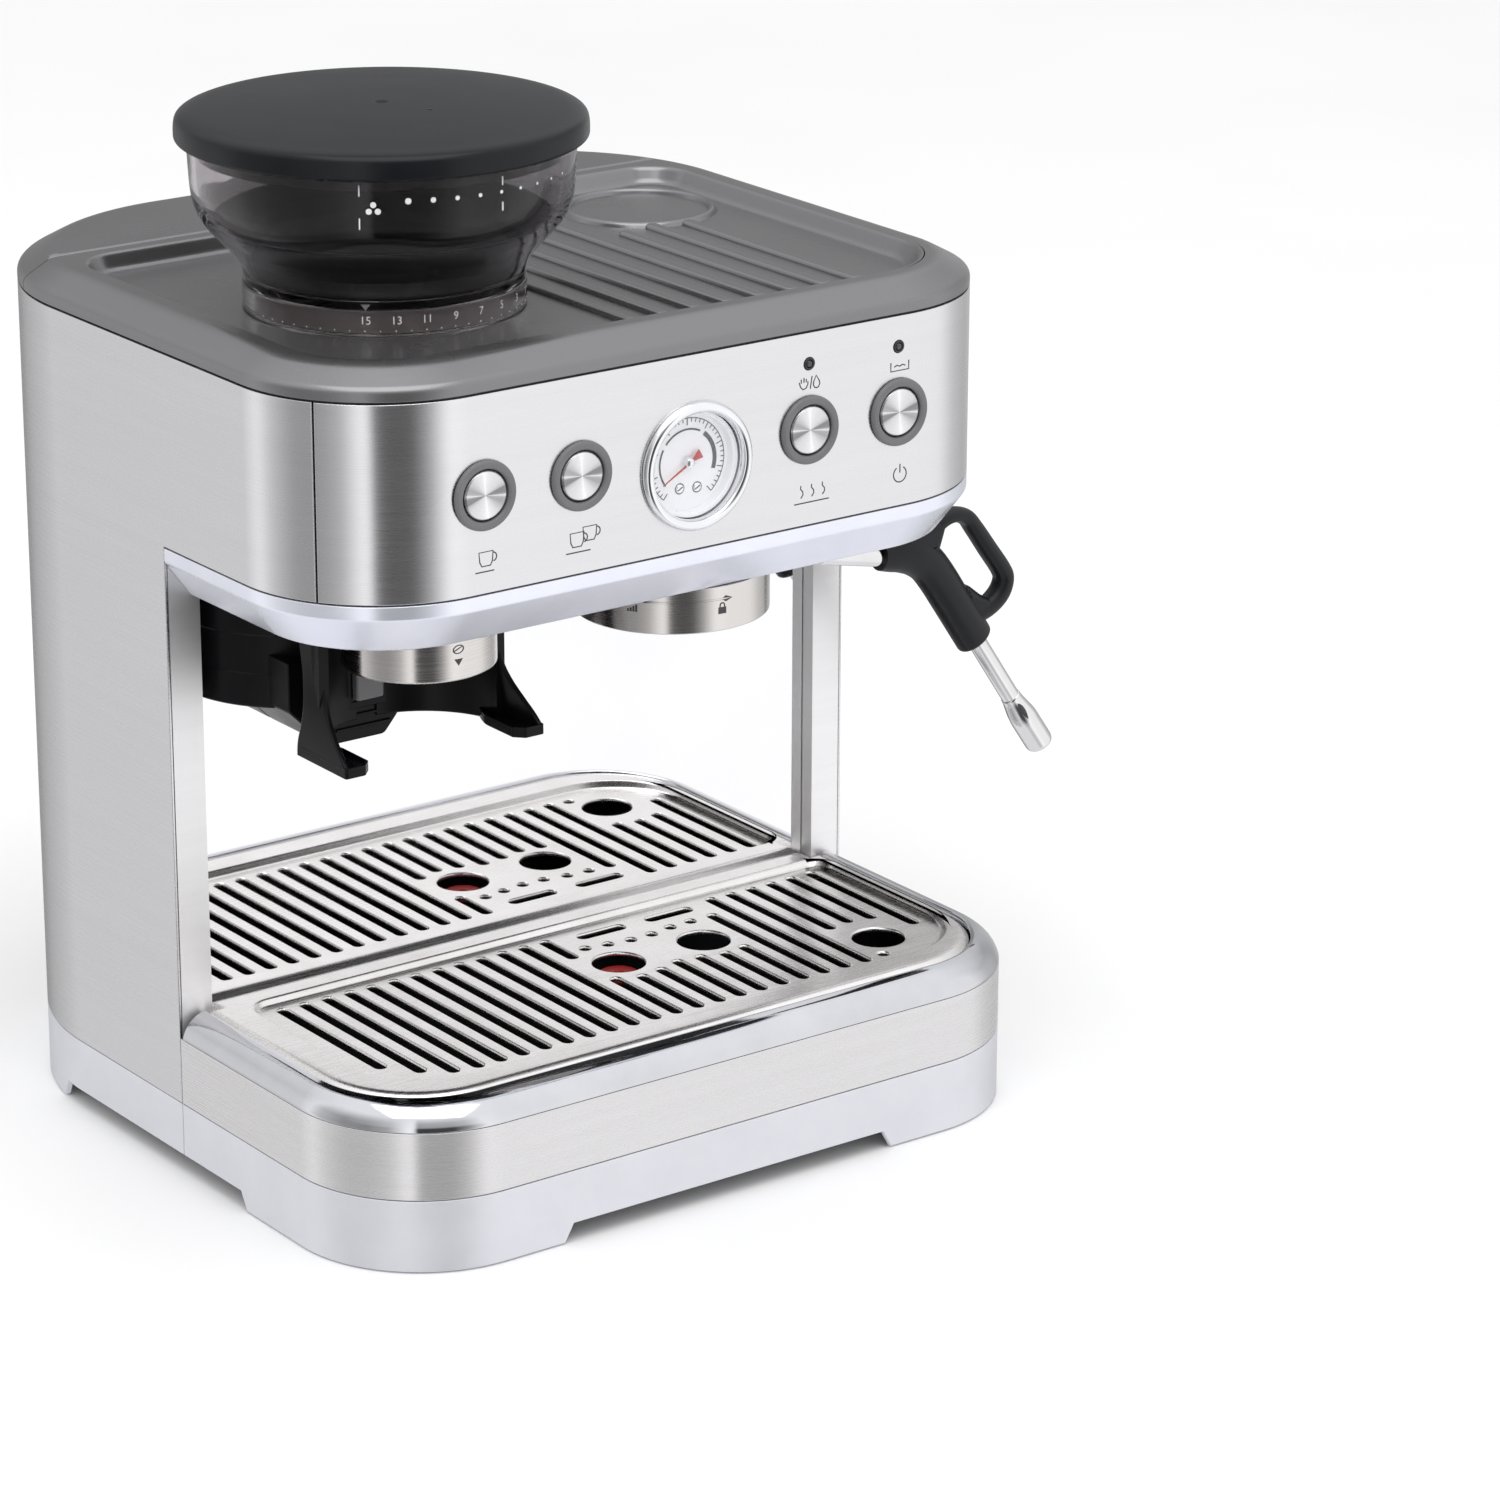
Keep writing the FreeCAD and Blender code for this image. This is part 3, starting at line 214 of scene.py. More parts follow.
def lathe(name, profile, radii, fine, centre, body, material, nodes=(), back=False, steps=96, sharp=40,
          slot=None):
    """A turned piece from (radius, height) points about an upright axis, or one that runs to the back, with
    corners rounded by the radii. A profile that starts on the axis ends on it; any other one is closed."""
    ring_shaped = profile[0][0] > AXIS_GAP
    profile = eased(profile, radii, fine, closed=ring_shaped)
    x, y, z = centre
    rows = []
    for k in range(steps):
        turn = 2 * math.pi * k / steps
        row = [(r * math.cos(turn), r * math.sin(turn), h) for r, h in profile]
        rows.append([(x + u, y + h, z + v) if back else (x + u, y + v, z + h) for u, v, h in row])
    points, faces = grid(rows, close_rows=True, close_columns=ring_shaped)
    obj = from_points(name, points, faces, origin=centre)
    return finish_piece(obj, body, material, nodes, sharp, slot=slot)


def arc(x, y, r, start, stop, steps=16):
    """Points on an arc, in degrees anticlockwise from the right."""
    turns = [math.radians(start + (stop - start) * k / steps) for k in range(steps + 1)]
    return [(x + r * math.cos(turn), y + r * math.sin(turn)) for turn in turns]


def circle(x, y, r, steps=40):
    return arc(x, y, r, 0, 360, steps)[:-1]


def capsule(x0, y0, x1, y1, r, steps=8):
    """The outline of a slot with round ends."""
    turn = math.degrees(math.atan2(y1 - y0, x1 - x0))
    return arc(x1, y1, r, turn - 90, turn + 90, steps) + arc(x0, y0, r, turn + 90, turn + 270, steps)


def box_run(x0, y0, x1, y1):
    """The four corners of a box, in order."""
    return [(x0, y0), (x1, y0), (x1, y1), (x0, y1)]


def rounded_box(left, right, front, back, front_r, back_r, steps):
    """A box with its two front and its two rear corners rounded, as seen from above."""
    corners = ((left + front_r, front + front_r, front_r, 180), (right - front_r, front + front_r, front_r,
                                                                 270), (right - back_r, back - back_r,
                                                                        back_r, 0),
               (left + back_r, back - back_r, back_r, 90))
    return [point for x, y, r, start in corners for point in arc(x, y, r, start, start + 90, steps)]


def mirrored(points):
    """A run on the right, and its mirror image on the left after it."""
    return points + [(-x, y) for x, y in reversed(points)]


def front_run(shell, side_inset, front_inset, end_y, steps):
    """The open run from the left end, round the two front corners, to the right end."""
    half, ahead, _, r, _ = shell
    half, ahead, r = half - side_inset, ahead + front_inset, r - front_inset
    corners = arc(r - half, ahead + r, r, 180, 270, steps) + arc(half - r, ahead + r, r, 270, 360, steps)
    return [(-half, end_y)] + corners + [(half, end_y)]


def along(shell, s, depth):
    """The point at a distance s along a shell from the middle of its front, some depth inside it."""
    half, ahead, rear, front_r, back_r = shell
    sign, s = (-1 if s < 0 else 1), abs(s)
    flat = half - front_r
    turn = front_r * math.pi / 2
    side = (rear - back_r) - (ahead + front_r)
    if s <= flat:
        x, y, nx, ny = s, ahead, 0, -1
    elif s <= flat + turn:
        a = (s - flat) / front_r
        nx, ny = math.sin(a), -math.cos(a)
        x, y = flat + front_r * nx, ahead + front_r + front_r * ny
    elif s <= flat + turn + side:
        x, y, nx, ny = half, ahead + front_r + (s - flat - turn), 1, 0
    elif s <= flat + turn + side + back_r * math.pi / 2:
        a = (s - flat - turn - side) / back_r
        nx, ny = math.cos(a), math.sin(a)
        x, y = half - back_r + back_r * nx, rear - back_r + back_r * ny
    else:
        x, y, nx, ny = half - back_r - (s - flat - turn - side - back_r * math.pi / 2), rear, 0, 1
    return sign * (x - nx * depth), y - ny * depth


def length_to(shell, y=None, front_turn=None, back_turn=None):
    """The distance along a shell from the middle of its front to a place on its side or in its corners."""
    half, ahead, rear, front_r, back_r = shell
    if front_turn is not None:
        return half - front_r + front_r * front_turn
    base = half - front_r + front_r * math.pi / 2
    if back_turn is not None:
        return base + (rear - back_r) - (ahead + front_r) + back_r * back_turn
    return base + y - (ahead + front_r)


def flat_plate(outlines, thickness, ease, ease_steps=2):
    """A flat plate from closed outlines, the first one the edge and the others holes, with eased edges.
    Returns a mesh in mm, lying in XY from z = 0 up."""
    curve = bpy.data.curves.new("plate", "CURVE")
    curve.dimensions = "2D"
    curve.fill_mode = "BOTH"
    curve.extrude = thickness / 2 - ease
    curve.bevel_depth = ease
    curve.bevel_resolution = ease_steps
    curve.offset = -ease
    for run in outlines:
        spline = curve.splines.new("POLY")
        spline.points.add(len(run) - 1)
        for point, (u, v) in zip(spline.points, run):
            point.co = (u, v, 0, 1)
        spline.use_cyclic_u = True
    holder = bpy.data.objects.new("plate", curve)
    mesh = bpy.data.meshes.new_from_object(holder)
    bpy.data.objects.remove(holder)
    bpy.data.curves.remove(curve)
    mesh.transform(Matrix.Translation((0, 0, thickness / 2)))
    return mesh


def shaped(name, mesh, where, body, material, nodes=(), cuts=(), sharp=40):
    """Put a flat plate's points where a function says: where(u, v, w) gives a point in mm."""
    bm = bmesh.new()
    bm.from_mesh(mesh)
    bpy.data.meshes.remove(mesh)
    bmesh.ops.remove_doubles(bm, verts=bm.verts, dist=0.002)
    for u in cuts:
        bmesh.ops.bisect_plane(bm, geom=bm.verts[:] + bm.edges[:] + bm.faces[:], plane_co=(u, 0, 0),
                               plane_no=(1, 0, 0))
    for vert in bm.verts:
        vert.co = metres(where(*vert.co))
    tidy(bm)
    made = bpy.data.meshes.new(name)
    bm.to_mesh(made)
    bm.free()
    return finish_piece(new_object(name, made), body, material, nodes, sharp)


def upright_plate(name, outlines, thickness, ease, ease_steps, back, body, material, nodes=(), sharp=40):
    """A plate with outlines in (x, z) that stands across the machine, with its rear face at y = back."""
    mesh = flat_plate(outlines, thickness, ease, ease_steps)
    shaped(name, mesh, lambda u, v, w: (u, back - w, v), body, material, nodes, sharp=sharp)


def corner_cuts(shell, step=2.5):
    """Places along a shell where a plate that wraps it is cut so that it can bend."""
    half, _, _, front_r, _ = shell
    start, front_end = half - front_r, length_to(shell, front_turn=math.pi / 2)
    rear_start = length_to(shell, back_turn=0)
    rear_end = length_to(shell, back_turn=math.radians(90))
    cuts = []
    for low, high in ((start, front_end), (rear_start, rear_end)):
        count = int((high - low) / step)
        cuts += [low + (high - low) * k / count for k in range(count + 1)]
    return [-c for c in reversed(cuts)] + cuts


def wrapped(name, outlines, shell, wall, body, material, nodes=(), ease=0.35, inset=0.0):
    """A sheet that follows a shell, from outlines in (distance along the shell, height)."""
    mesh = flat_plate(outlines, wall, ease)

    def where(s, z, w):
        x, y = along(shell, s, inset + wall - w)
        return x, y, z

    return shaped(name, mesh, where, body, material, nodes, cuts=corner_cuts(shell))


# ---------------------------------------------------------------- material helpers
def add(tree, kind, inputs=(), **settings):
    node = tree.nodes.new("ShaderNode" + kind)
    for key, value in settings.items():
        setattr(node, key, value)
    for key, value in dict(inputs).items():
        if isinstance(value, bpy.types.NodeSocket):
            tree.links.new(value, node.inputs[key])
        else:
            node.inputs[key].default_value = value
    return node


def maths(tree, operation, *operands):
    return add(tree, "Math", enumerate(operands), operation=operation).outputs[0]


def vector_maths(tree, operation, *operands):
    return add(tree, "VectorMath", enumerate(operands), operation=operation).outputs["Vector"]


def blend(tree, factor, one, two, mode="MIX"):
    """Mix two colours."""
    inputs = {"Factor": factor, 6: one, 7: two}
    return add(tree, "Mix", inputs, data_type="RGBA", blend_type=mode).outputs[2]


def start(name, **values):
    """A material with a Principled shader whose sockets are set from keywords."""
    mat = bpy.data.materials.new(name)
    mat.use_nodes = True
    shader = mat.node_tree.nodes["Principled BSDF"]
    for key, value in values.items():
        shader.inputs[key.replace("_", " ")].default_value = value
    return mat, mat.node_tree, shader


def streaks(tree, stretch, detail=4.0, rough=0.6, seed=0.0):
    """Noise in object space, in mm, that is drawn out along some axes."""
    place = add(tree, "TexCoord").outputs["Object"]
    sized = add(tree, "Mapping", {"Vector": place, "Scale": [1000 / s for s in stretch],
                                  "Location": (seed, seed, seed)})
    return add(tree, "TexNoise", {"Vector": sized.outputs["Vector"], "Scale": 1.0, "Detail": detail,
                                  "Roughness": rough}).outputs["Fac"]


NOISE_LOW, NOISE_HIGH = 0.3, 0.7      # where most of the noise lies


def spread(tree, fac, low, high):
    """Map noise to a range of numbers."""
    return add(tree, "MapRange", {"Value": fac, "From Min": NOISE_LOW, "From Max": NOISE_HIGH,
                                  "To Min": low, "To Max": high}).outputs["Result"]


def tint(tree, fac, dark, light):
    """Map noise to colours between a dark and a light one."""
    ramp = add(tree, "ValToRGB", {"Fac": fac})
    for end, place, colour in zip(ramp.color_ramp.elements, (NOISE_LOW, NOISE_HIGH), (dark, light)):
        end.position = place
        end.color = (*colour, 1)
    return ramp.outputs["Color"]


def bump(tree, shader, height, distance):
    """Raise the surface by a distance in mm."""
    node = add(tree, "Bump", {"Height": height, "Distance": distance * MM, "Strength": 1.0})
    tree.links.new(node.outputs["Normal"], shader.inputs["Normal"])


def dress(tree, shader, colour, gloss):
    """Link a colour and a roughness to the shader."""
    tree.links.new(colour, shader.inputs["Base Color"])
    tree.links.new(gloss, shader.inputs["Roughness"])


def level_ramp(tree, fac, stops):
    """Grey levels, each with the place along the ramp where it lies."""
    ramp = add(tree, "ValToRGB", {"Fac": fac})
    while len(ramp.color_ramp.elements) < len(stops):
        ramp.color_ramp.elements.new(0.5)
    for element, (place, value) in zip(ramp.color_ramp.elements, stops):
        element.position = place
        element.color = (value, value, value * 1.01, 1)
    return ramp.outputs["Color"]


def grain_tangent(tree, shader, turned=False):
    """Highlights spread across the grain, which is level on a sheet and runs round a turned piece."""
    normal = add(tree, "NewGeometry").outputs["Normal"]
    if turned:
        place = add(tree, "TexCoord").outputs["Object"]
        axis = (0, 0, 1) if turned == "upright" else (0, 1, 0)
        grain = vector_maths(tree, "CROSS_PRODUCT", place, axis)
    else:
        # the small step along x keeps the grain defined where the face is level
        level = vector_maths(tree, "CROSS_PRODUCT", normal, (0, 0, 1))
        grain = vector_maths(tree, "ADD", level, (0.01, 0, 0))
    across = vector_maths(tree, "CROSS_PRODUCT", grain, normal)
    tree.links.new(vector_maths(tree, "NORMALIZE", across), shader.inputs["Tangent"])


# ---------------------------------------------------------------- materials
def brushed_steel(name="brushed_steel", light=(0.75, 0.745, 0.755), dark=(0.712, 0.707, 0.717),
                  rough=(0.24, 0.30), metallic=1.0):
    """Sheet steel with a fine level grain."""
    mat, tree, shader = start(name, Metallic=metallic, Anisotropic=0.75)
    fine = streaks(tree, (30, 30, 0.16), detail=4, rough=0.7)
    broad = streaks(tree, (160, 160, 5), detail=3, seed=7)
    both = maths(tree, "ADD", fine, broad)
    half = maths(tree, "MULTIPLY", both, 0.5)
    dress(tree, shader, tint(tree, half, dark, light), spread(tree, fine, *rough))
    bump(tree, shader, fine, 0.006)
    grain_tangent(tree, shader)
    return mat


def pressed_steel():
    """Thin stamped steel with a warm cast and faint rolling marks."""
    mat, tree, shader = start("pressed_steel", Metallic=1.0, Anisotropic=0.35)
    fine = streaks(tree, (40, 0.6, 40), detail=5, rough=0.65)
    cloud = streaks(tree, (18, 18, 18), detail=3, seed=3)
    colour = tint(tree, cloud, (0.78, 0.755, 0.74), (0.86, 0.84, 0.83))
    dress(tree, shader, colour, spread(tree, fine, 0.22, 0.34))
    bump(tree, shader, fine, 0.002)
    return mat


def bright_metal(name, light, dark, rough=(0.03, 0.08), smear=24, metallic=1.0):
    """Plated or polished metal with faint wiping marks in its gloss."""
    mat, tree, shader = start(name, Metallic=metallic)
    cloud = streaks(tree, (smear, smear, smear), detail=4, seed=5)
    dress(tree, shader, tint(tree, cloud, dark, light), spread(tree, cloud, *rough))
    return mat


# painted highlights: how bright a spun face is painted round its axis, as shares of a half turn from the
# right, going up; the light and dark wedges stand in for reflections
PAINTED_SPUN_HIGHLIGHTS = ((0.0, 0.34), (0.09, 0.30), (0.13, 0.62), (0.2, 0.74), (0.33, 0.78), (0.46, 0.86),
               (0.53, 1.0), (0.58, 0.84), (0.7, 0.74), (0.8, 0.60), (0.86, 0.46), (0.93, 0.52),
               (0.965, 0.95), (0.985, 0.5))


def wedge_tone(tree, parts, painted_wedges):
    """Painted highlights: light and dark wedges round the axis, standing in for reflections on a face with
    fine turning rings.
    """
    turn = maths(tree, "ARCTAN2", parts.outputs["Z"], parts.outputs["X"])
    half = maths(tree, "MULTIPLY", turn, 1 / math.pi)
    share = maths(tree, "FLOORED_MODULO", half, 1.0)
    return level_ramp(tree, share, painted_wedges)


def spun_metal(name, turned, light=(0.80, 0.79, 0.79), dark=(0.62, 0.61, 0.61), anisotropic=0.85,
               rough=(0.22, 0.36), painted_wedges=None):
    """Metal turned on a lathe: fine rings that spread the light across them. Given painted wedges, its
    colour also carries painted highlights round the axis.
    """
    mat, tree, shader = start(name, Metallic=1.0, Anisotropic=anisotropic)
    place = add(tree, "TexCoord").outputs["Object"]
    parts = add(tree, "SeparateXYZ", {"Vector": place})
    other = "Y" if turned == "upright" else "Z"
    along_axis = "Z" if turned == "upright" else "Y"
    pair = add(tree, "CombineXYZ", {"X": parts.outputs["X"], "Y": parts.outputs[other]})
    radius = add(tree, "VectorMath", {0: pair.outputs["Vector"]}, operation="LENGTH").outputs["Value"]
    rings = add(tree, "CombineXYZ", {"X": radius, "Y": parts.outputs[along_axis]})
    sized = add(tree, "Mapping", {"Vector": rings.outputs["Vector"], "Scale": (4200, 4200, 1)})
    fine = add(tree, "TexNoise", {"Vector": sized.outputs["Vector"], "Scale": 1.0, "Detail": 3.0,
                                  "Roughness": 0.6}).outputs["Fac"]
    colour = tint(tree, fine, dark, light)
    # painted highlights: light and dark wedges multiplied into the colour
    if painted_wedges:
        colour = blend(tree, 1.0, colour, wedge_tone(tree, parts, painted_wedges), "MULTIPLY")
    dress(tree, shader, colour, spread(tree, fine, *rough))
    bump(tree, shader, fine, 0.004)
    grain_tangent(tree, shader, turned)
    return mat


def plastic(name, light, dark, rough=(0.3, 0.42), grain=0.5, height=0.01, coat=0.0, specular=0.5):
    """Moulded plastic with a fine grain and a little variation in its colour and gloss."""
    mat, tree, shader = start(name, Specular_IOR_Level=specular, Coat_Weight=coat, Coat_Roughness=0.08)
    fine = streaks(tree, (grain, grain, grain), detail=2)
    cloud = streaks(tree, (35, 35, 35), detail=3, seed=11)
    dress(tree, shader, tint(tree, cloud, dark, light), spread(tree, cloud, *rough))
    bump(tree, shader, fine, height)
    return mat


def painted(name, light, dark, rough, metallic=0.55):
    """Plastic with a fine metallic paint."""
    mat, tree, shader = start(name, Metallic=metallic, Coat_Weight=0.15, Coat_Roughness=0.2)
    flake = streaks(tree, (0.25, 0.25, 0.25), detail=1)
    cloud = streaks(tree, (60, 60, 60), detail=3, seed=2)
    both = maths(tree, "MULTIPLY_ADD", flake, 0.5, 0.25)
    dress(tree, shader, tint(tree, both, dark, light), spread(tree, cloud, *rough))
    bump(tree, shader, flake, 0.006)
    return mat


def clear_plastic(name, colour, rough, ior):
    """Transparent plastic with slight flow marks."""
    mat, tree, shader = start(name, Transmission_Weight=1.0, IOR=ior)
    cloud = streaks(tree, (16, 16, 30), detail=3, seed=4)
    dark = tuple(c * 0.9 for c in colour)
    dress(tree, shader, tint(tree, cloud, dark, colour), spread(tree, cloud, *rough))
    bump(tree, shader, cloud, 0.03)
    return mat


def thin_glass(name, share):
    """A thin clear window: mostly open, with a faint sheen."""
    mat, tree, shader = start(name, Alpha=share)
    cloud = streaks(tree, (20, 20, 20), detail=2, seed=6)
    colour = tint(tree, cloud, (0.86, 0.87, 0.9), (0.95, 0.96, 0.98))
    dress(tree, shader, colour, spread(tree, cloud, 0.02, 0.06))
    return mat


def printed(name, light, dark, rough=0.5):
    """Ink with the slight unevenness of pad printing."""
    mat, tree, shader = start(name, Roughness=rough)
    tree.links.new(tint(tree, streaks(tree, (0.6, 0.6, 0.6), detail=2), dark, light),
                   shader.inputs["Base Color"])
    return mat


STEEL = brushed_steel()
PRESSED = pressed_steel()
FOLDED = brushed_steel("folded_steel", (0.55, 0.56, 0.57), (0.45, 0.46, 0.47), (0.35, 0.45))
MIRROR = bright_metal("mirror", (0.90, 0.90, 0.905), (0.87, 0.87, 0.875), (0.012, 0.03), 60)
CHROME = bright_metal("chrome", (0.86, 0.865, 0.88), (0.80, 0.805, 0.82))
TRIM = bright_metal("bright_trim", (0.82, 0.84, 0.92), (0.77, 0.79, 0.87), (0.2, 0.26), metallic=0.65)
COLLAR_CHROME = bright_metal("collar_chrome", (0.66, 0.665, 0.69), (0.60, 0.605, 0.63), (0.04, 0.09))
BAND_STEEL = brushed_steel("band_steel", (0.70, 0.69, 0.695), (0.64, 0.63, 0.635), metallic=0.6)
PILLAR_STEEL = brushed_steel("pillar_steel", (0.90, 0.895, 0.90), (0.84, 0.835, 0.84), (0.3, 0.36), 0.75)
SILVER = bright_metal("silver_plastic", (0.72, 0.725, 0.77), (0.67, 0.675, 0.72), (0.36, 0.44),
                      metallic=0.35)
SPUN_UPRIGHT = spun_metal("spun_upright", "upright", (0.74, 0.71, 0.685), (0.64, 0.615, 0.595), 0.6,
                          (0.2, 0.3))
# the button faces carry painted highlights in their colour
SPUN_FACE_PAINTED_HIGHLIGHTS = spun_metal("spun_face_painted_highlights", "back", (0.98, 0.98, 0.99), (0.86, 0.86, 0.87), painted_wedges=PAINTED_SPUN_HIGHLIGHTS)
CAST = painted("cast_metal", (0.62, 0.62, 0.63), (0.5, 0.5, 0.51), (0.4, 0.6), 0.9)
BRASS = painted("brass_part", (0.72, 0.58, 0.34), (0.6, 0.47, 0.26), (0.3, 0.45), 1.0)
BURR = painted("burr_steel", (0.36, 0.36, 0.37), (0.26, 0.26, 0.27), (0.3, 0.45), 0.9)
COVER = painted("cover_grey", (0.25, 0.25, 0.255), (0.185, 0.185, 0.19), (0.22, 0.32), 0.75)
BLACK = plastic("black_plastic", (0.022, 0.023, 0.026), (0.014, 0.015, 0.017), (0.28, 0.4))
GLOSS = plastic("gloss_black", (0.010, 0.011, 0.013), (0.006, 0.007, 0.009), (0.2, 0.28), 0.8, 0.004, 0.0,
                0.2)
RING_GREY = plastic("ring_grey", (0.17, 0.17, 0.175), (0.12, 0.12, 0.125), (0.38, 0.5), 0.4, 0.01)
RUBBER = plastic("rubber_black", (0.03, 0.03, 0.031), (0.018, 0.018, 0.019), (0.7, 0.85), 0.6, 0.03)
RED = plastic("red_plastic", (0.52, 0.018, 0.012), (0.36, 0.01, 0.008), (0.35, 0.5))
DIAL = plastic("white_dial", (0.93, 0.935, 0.96), (0.89, 0.895, 0.92), (0.5, 0.6), 0.3, 0.003)
LAMP = plastic("dark_lamp", (0.05, 0.035, 0.035), (0.02, 0.012, 0.012), (0.1, 0.16), 1.0, 0.002, 0.6)
SMOKED = clear_plastic("smoked", (0.62, 0.59, 0.605), (0.02, 0.06), 1.32)
RING_CLEAR = clear_plastic("ring_smoke", (0.80, 0.77, 0.77), (0.04, 0.1), 1.4)
RING_CORE = plastic("ring_core", (0.36, 0.33, 0.33), (0.28, 0.26, 0.26), (0.3, 0.4))
CLEAR = thin_glass("clear", 0.06)
POLISHED = bright_metal("polished_steel", (0.80, 0.79, 0.785), (0.72, 0.71, 0.705), (0.05, 0.1))
CRADLE = plastic("cradle_black", (0.006, 0.006, 0.007), (0.003, 0.003, 0.004), (0.26, 0.38), specular=0.15)
GRIP = plastic("grip_black", (0.012, 0.0125, 0.015), (0.008, 0.0085, 0.010), (0.3, 0.42), specular=0.26)
# dark ink for the prints, also used for painted shade in the nozzle's slots and on the dial's screws
DARK_INK_AND_SHADE = printed("dark_ink_and_shade", (0.06, 0.06, 0.065), (0.03, 0.03, 0.035))
INK_LIGHT = printed("ink_light", (0.85, 0.85, 0.86), (0.7, 0.7, 0.71))

# the finishes of each material slot; the CAD pieces that stay take the first, but the pillars their own
FINISHES = {"brushed_steel_panel": (STEEL, BAND_STEEL, PILLAR_STEEL), "bright_trim": (TRIM,),
            "mirror": (MIRROR,), "chrome": (CHROME, COLLAR_CHROME, POLISHED), "silver_plastic": (SILVER,),
            "cover_grey": (COVER,), "black_plastic": (BLACK, CRADLE, GRIP, DARK_INK_AND_SHADE),
            "gloss_black": (GLOSS,), "ring_grey": (RING_GREY,), "smoked": (SMOKED, RING_CLEAR, RING_CORE),
            "clear": (CLEAR,), "white_dial": (DIAL, INK_LIGHT), "pressed_steel": (PRESSED,),
            "folded_steel": (FOLDED,), "spun_metal": (SPUN_UPRIGHT, SPUN_FACE_PAINTED_HIGHLIGHTS), "cast_metal": (CAST,),
            "brass_part": (BRASS,), "burr_steel": (BURR,), "rubber_black": (RUBBER,), "red_plastic": (RED,),
            "dark_lamp": (LAMP,)}
SLOT_OF = {finish.name: slot for slot, finishes in FINISHES.items() for finish in finishes}


def dress_cad():
    """Give each CAD piece a finish of its slot."""
    slots = {part["node"]: part["material_slot"] for part in frame["record"]["subparts"]}
    for node, cad in frame["nodes"].items():
        cad.data.materials.clear()
        cad.data.materials.append(PILLAR_STEEL if node.endswith("_jamb") else FINISHES[slots[node]][0])


# ---------------------------------------------------------------- shell panels
def panels():
    seam = length_to(HEAD, front_turn=math.pi / 2 - SEAM_TURN)
    pillar = length_to(HEAD, y=PILLAR_Y)
    rear = length_to(HEAD, back_turn=SEAM_TURN)
    low, top = BAND_Z + 0.3, COVER_Z - 0.2
    wall = 1.2
    for side, name in ((-1, "left"), (1, "right")):
        run = [(side * seam, PANEL_Z), (side * pillar, PANEL_Z), (side * pillar, low), (side * rear, low),
               (side * rear, top), (side * seam, top)]
        wrapped(name + "_side_sheet", [run], HEAD, wall, "machine", STEEL, [name + "_side_panel"])
    face = seam - 0.7
    button_r, lamp_r, gauge_r = 11.6, 2.4, 22.4
    holes = [circle(middle(name + "_bezel")[0], middle(name + "_bezel")[2], button_r) for name in BUTTONS]
    holes += [circle(middle(name)[0], middle(name)[2], lamp_r, 24) for name in LAMPS]
    holes.append(circle(0, middle("gauge_bezel")[2], gauge_r, 64))
    wrapped("front_sheet", [box_run(-face, PANEL_Z, face, top)] + holes, HEAD, wall, "machine", STEEL,
            ["front_panel"])


def seam_backing():
    """Painted shade: dark strips set behind the narrow seams between the sheets, which stand in for the
    shade in the gaps.
    """
    seam = length_to(HEAD, front_turn=math.pi / 2 - SEAM_TURN)
    pillar = length_to(HEAD, y=PILLAR_Y)
    rear = length_to(HEAD, back_turn=SEAM_TURN)
    front = length_to(BASE, y=PILLAR_Y) - 1
    strips = [("cover_seam", box_run(-rear, COVER_Z - 4, rear, COVER_Z + 1.4), HEAD, "machine", 1.35),
              ("trim_seam", box_run(-pillar, PANEL_Z - 3.2, pillar, PANEL_Z + 3), HEAD, "machine", 1.35),
              ("band_seam", box_run(-front, BAND_Z - 1.6, front, BAND_Z + 2), BASE, "tray", 2.55),
              ("collar_seam", box_run(-front, COLLAR_Z - 1.6, front, COLLAR_Z + 2), BASE, "tray", 2.6)]
    for side, name in ((-1, "left"), (1, "right")):
        upright = box_run(side * seam - 4, PANEL_Z, side * seam + 4, COVER_Z)
        level = box_run(side * rear, BAND_Z - 2, side * (pillar + 1), BAND_Z + 3)
        strips.append((name + "_seam", upright, HEAD, "machine", 1.35))
        strips.append(("skirt_seam_" + name, level, HEAD, "machine", 1.4))
    for name, run, shell, body, inset in strips:
        wrapped(name, [run], shell, 0.7, body, BLACK, ease=0.1, inset=inset)


# ---------------------------------------------------------------- bright trim
def swept(name, profile, run, body, material, nodes):
    """Sweep a closed (inset, height) profile along a run that depends on the inset."""
    columns = [run(inset) for inset, _ in profile]
    rows = [[(*column[j], z) for column, (_, z) in zip(columns, profile)] for j in range(len(columns[0]))]
    sheet(name, rows, body, material, nodes, sharp=35, close_columns=True, cap=True)


def trim():
    top = PANEL_Z - 0.6
    section = [(11, CEILING_Z), (0, top - 5.1), (0, top), (2.4, top), (2.4, top - 5),
               (13.6, CEILING_Z + 0.6)]
    section = eased(section, [0.8, 0.7, 0.5, 0.4, 0.4, 0.6])
    swept("trim", section, lambda inset: front_run(HEAD, inset, inset, PILLAR_Y - 0.4, 28), "machine", TRIM,
          ["front_trim"])


# ---------------------------------------------------------------- top cover and the lid of the tank
LID_SEAM = span("top_cover")[3]
REAR_CENTRE_Y = BACK - HEAD[4]
SHELF_INSET = 20.0
CROWN_INSET = 12.0
COVER_STEPS = 24
SHELF_BACK = 96.0
SHELF_FRONT_R, SHELF_BACK_R = 36.0, 18.0


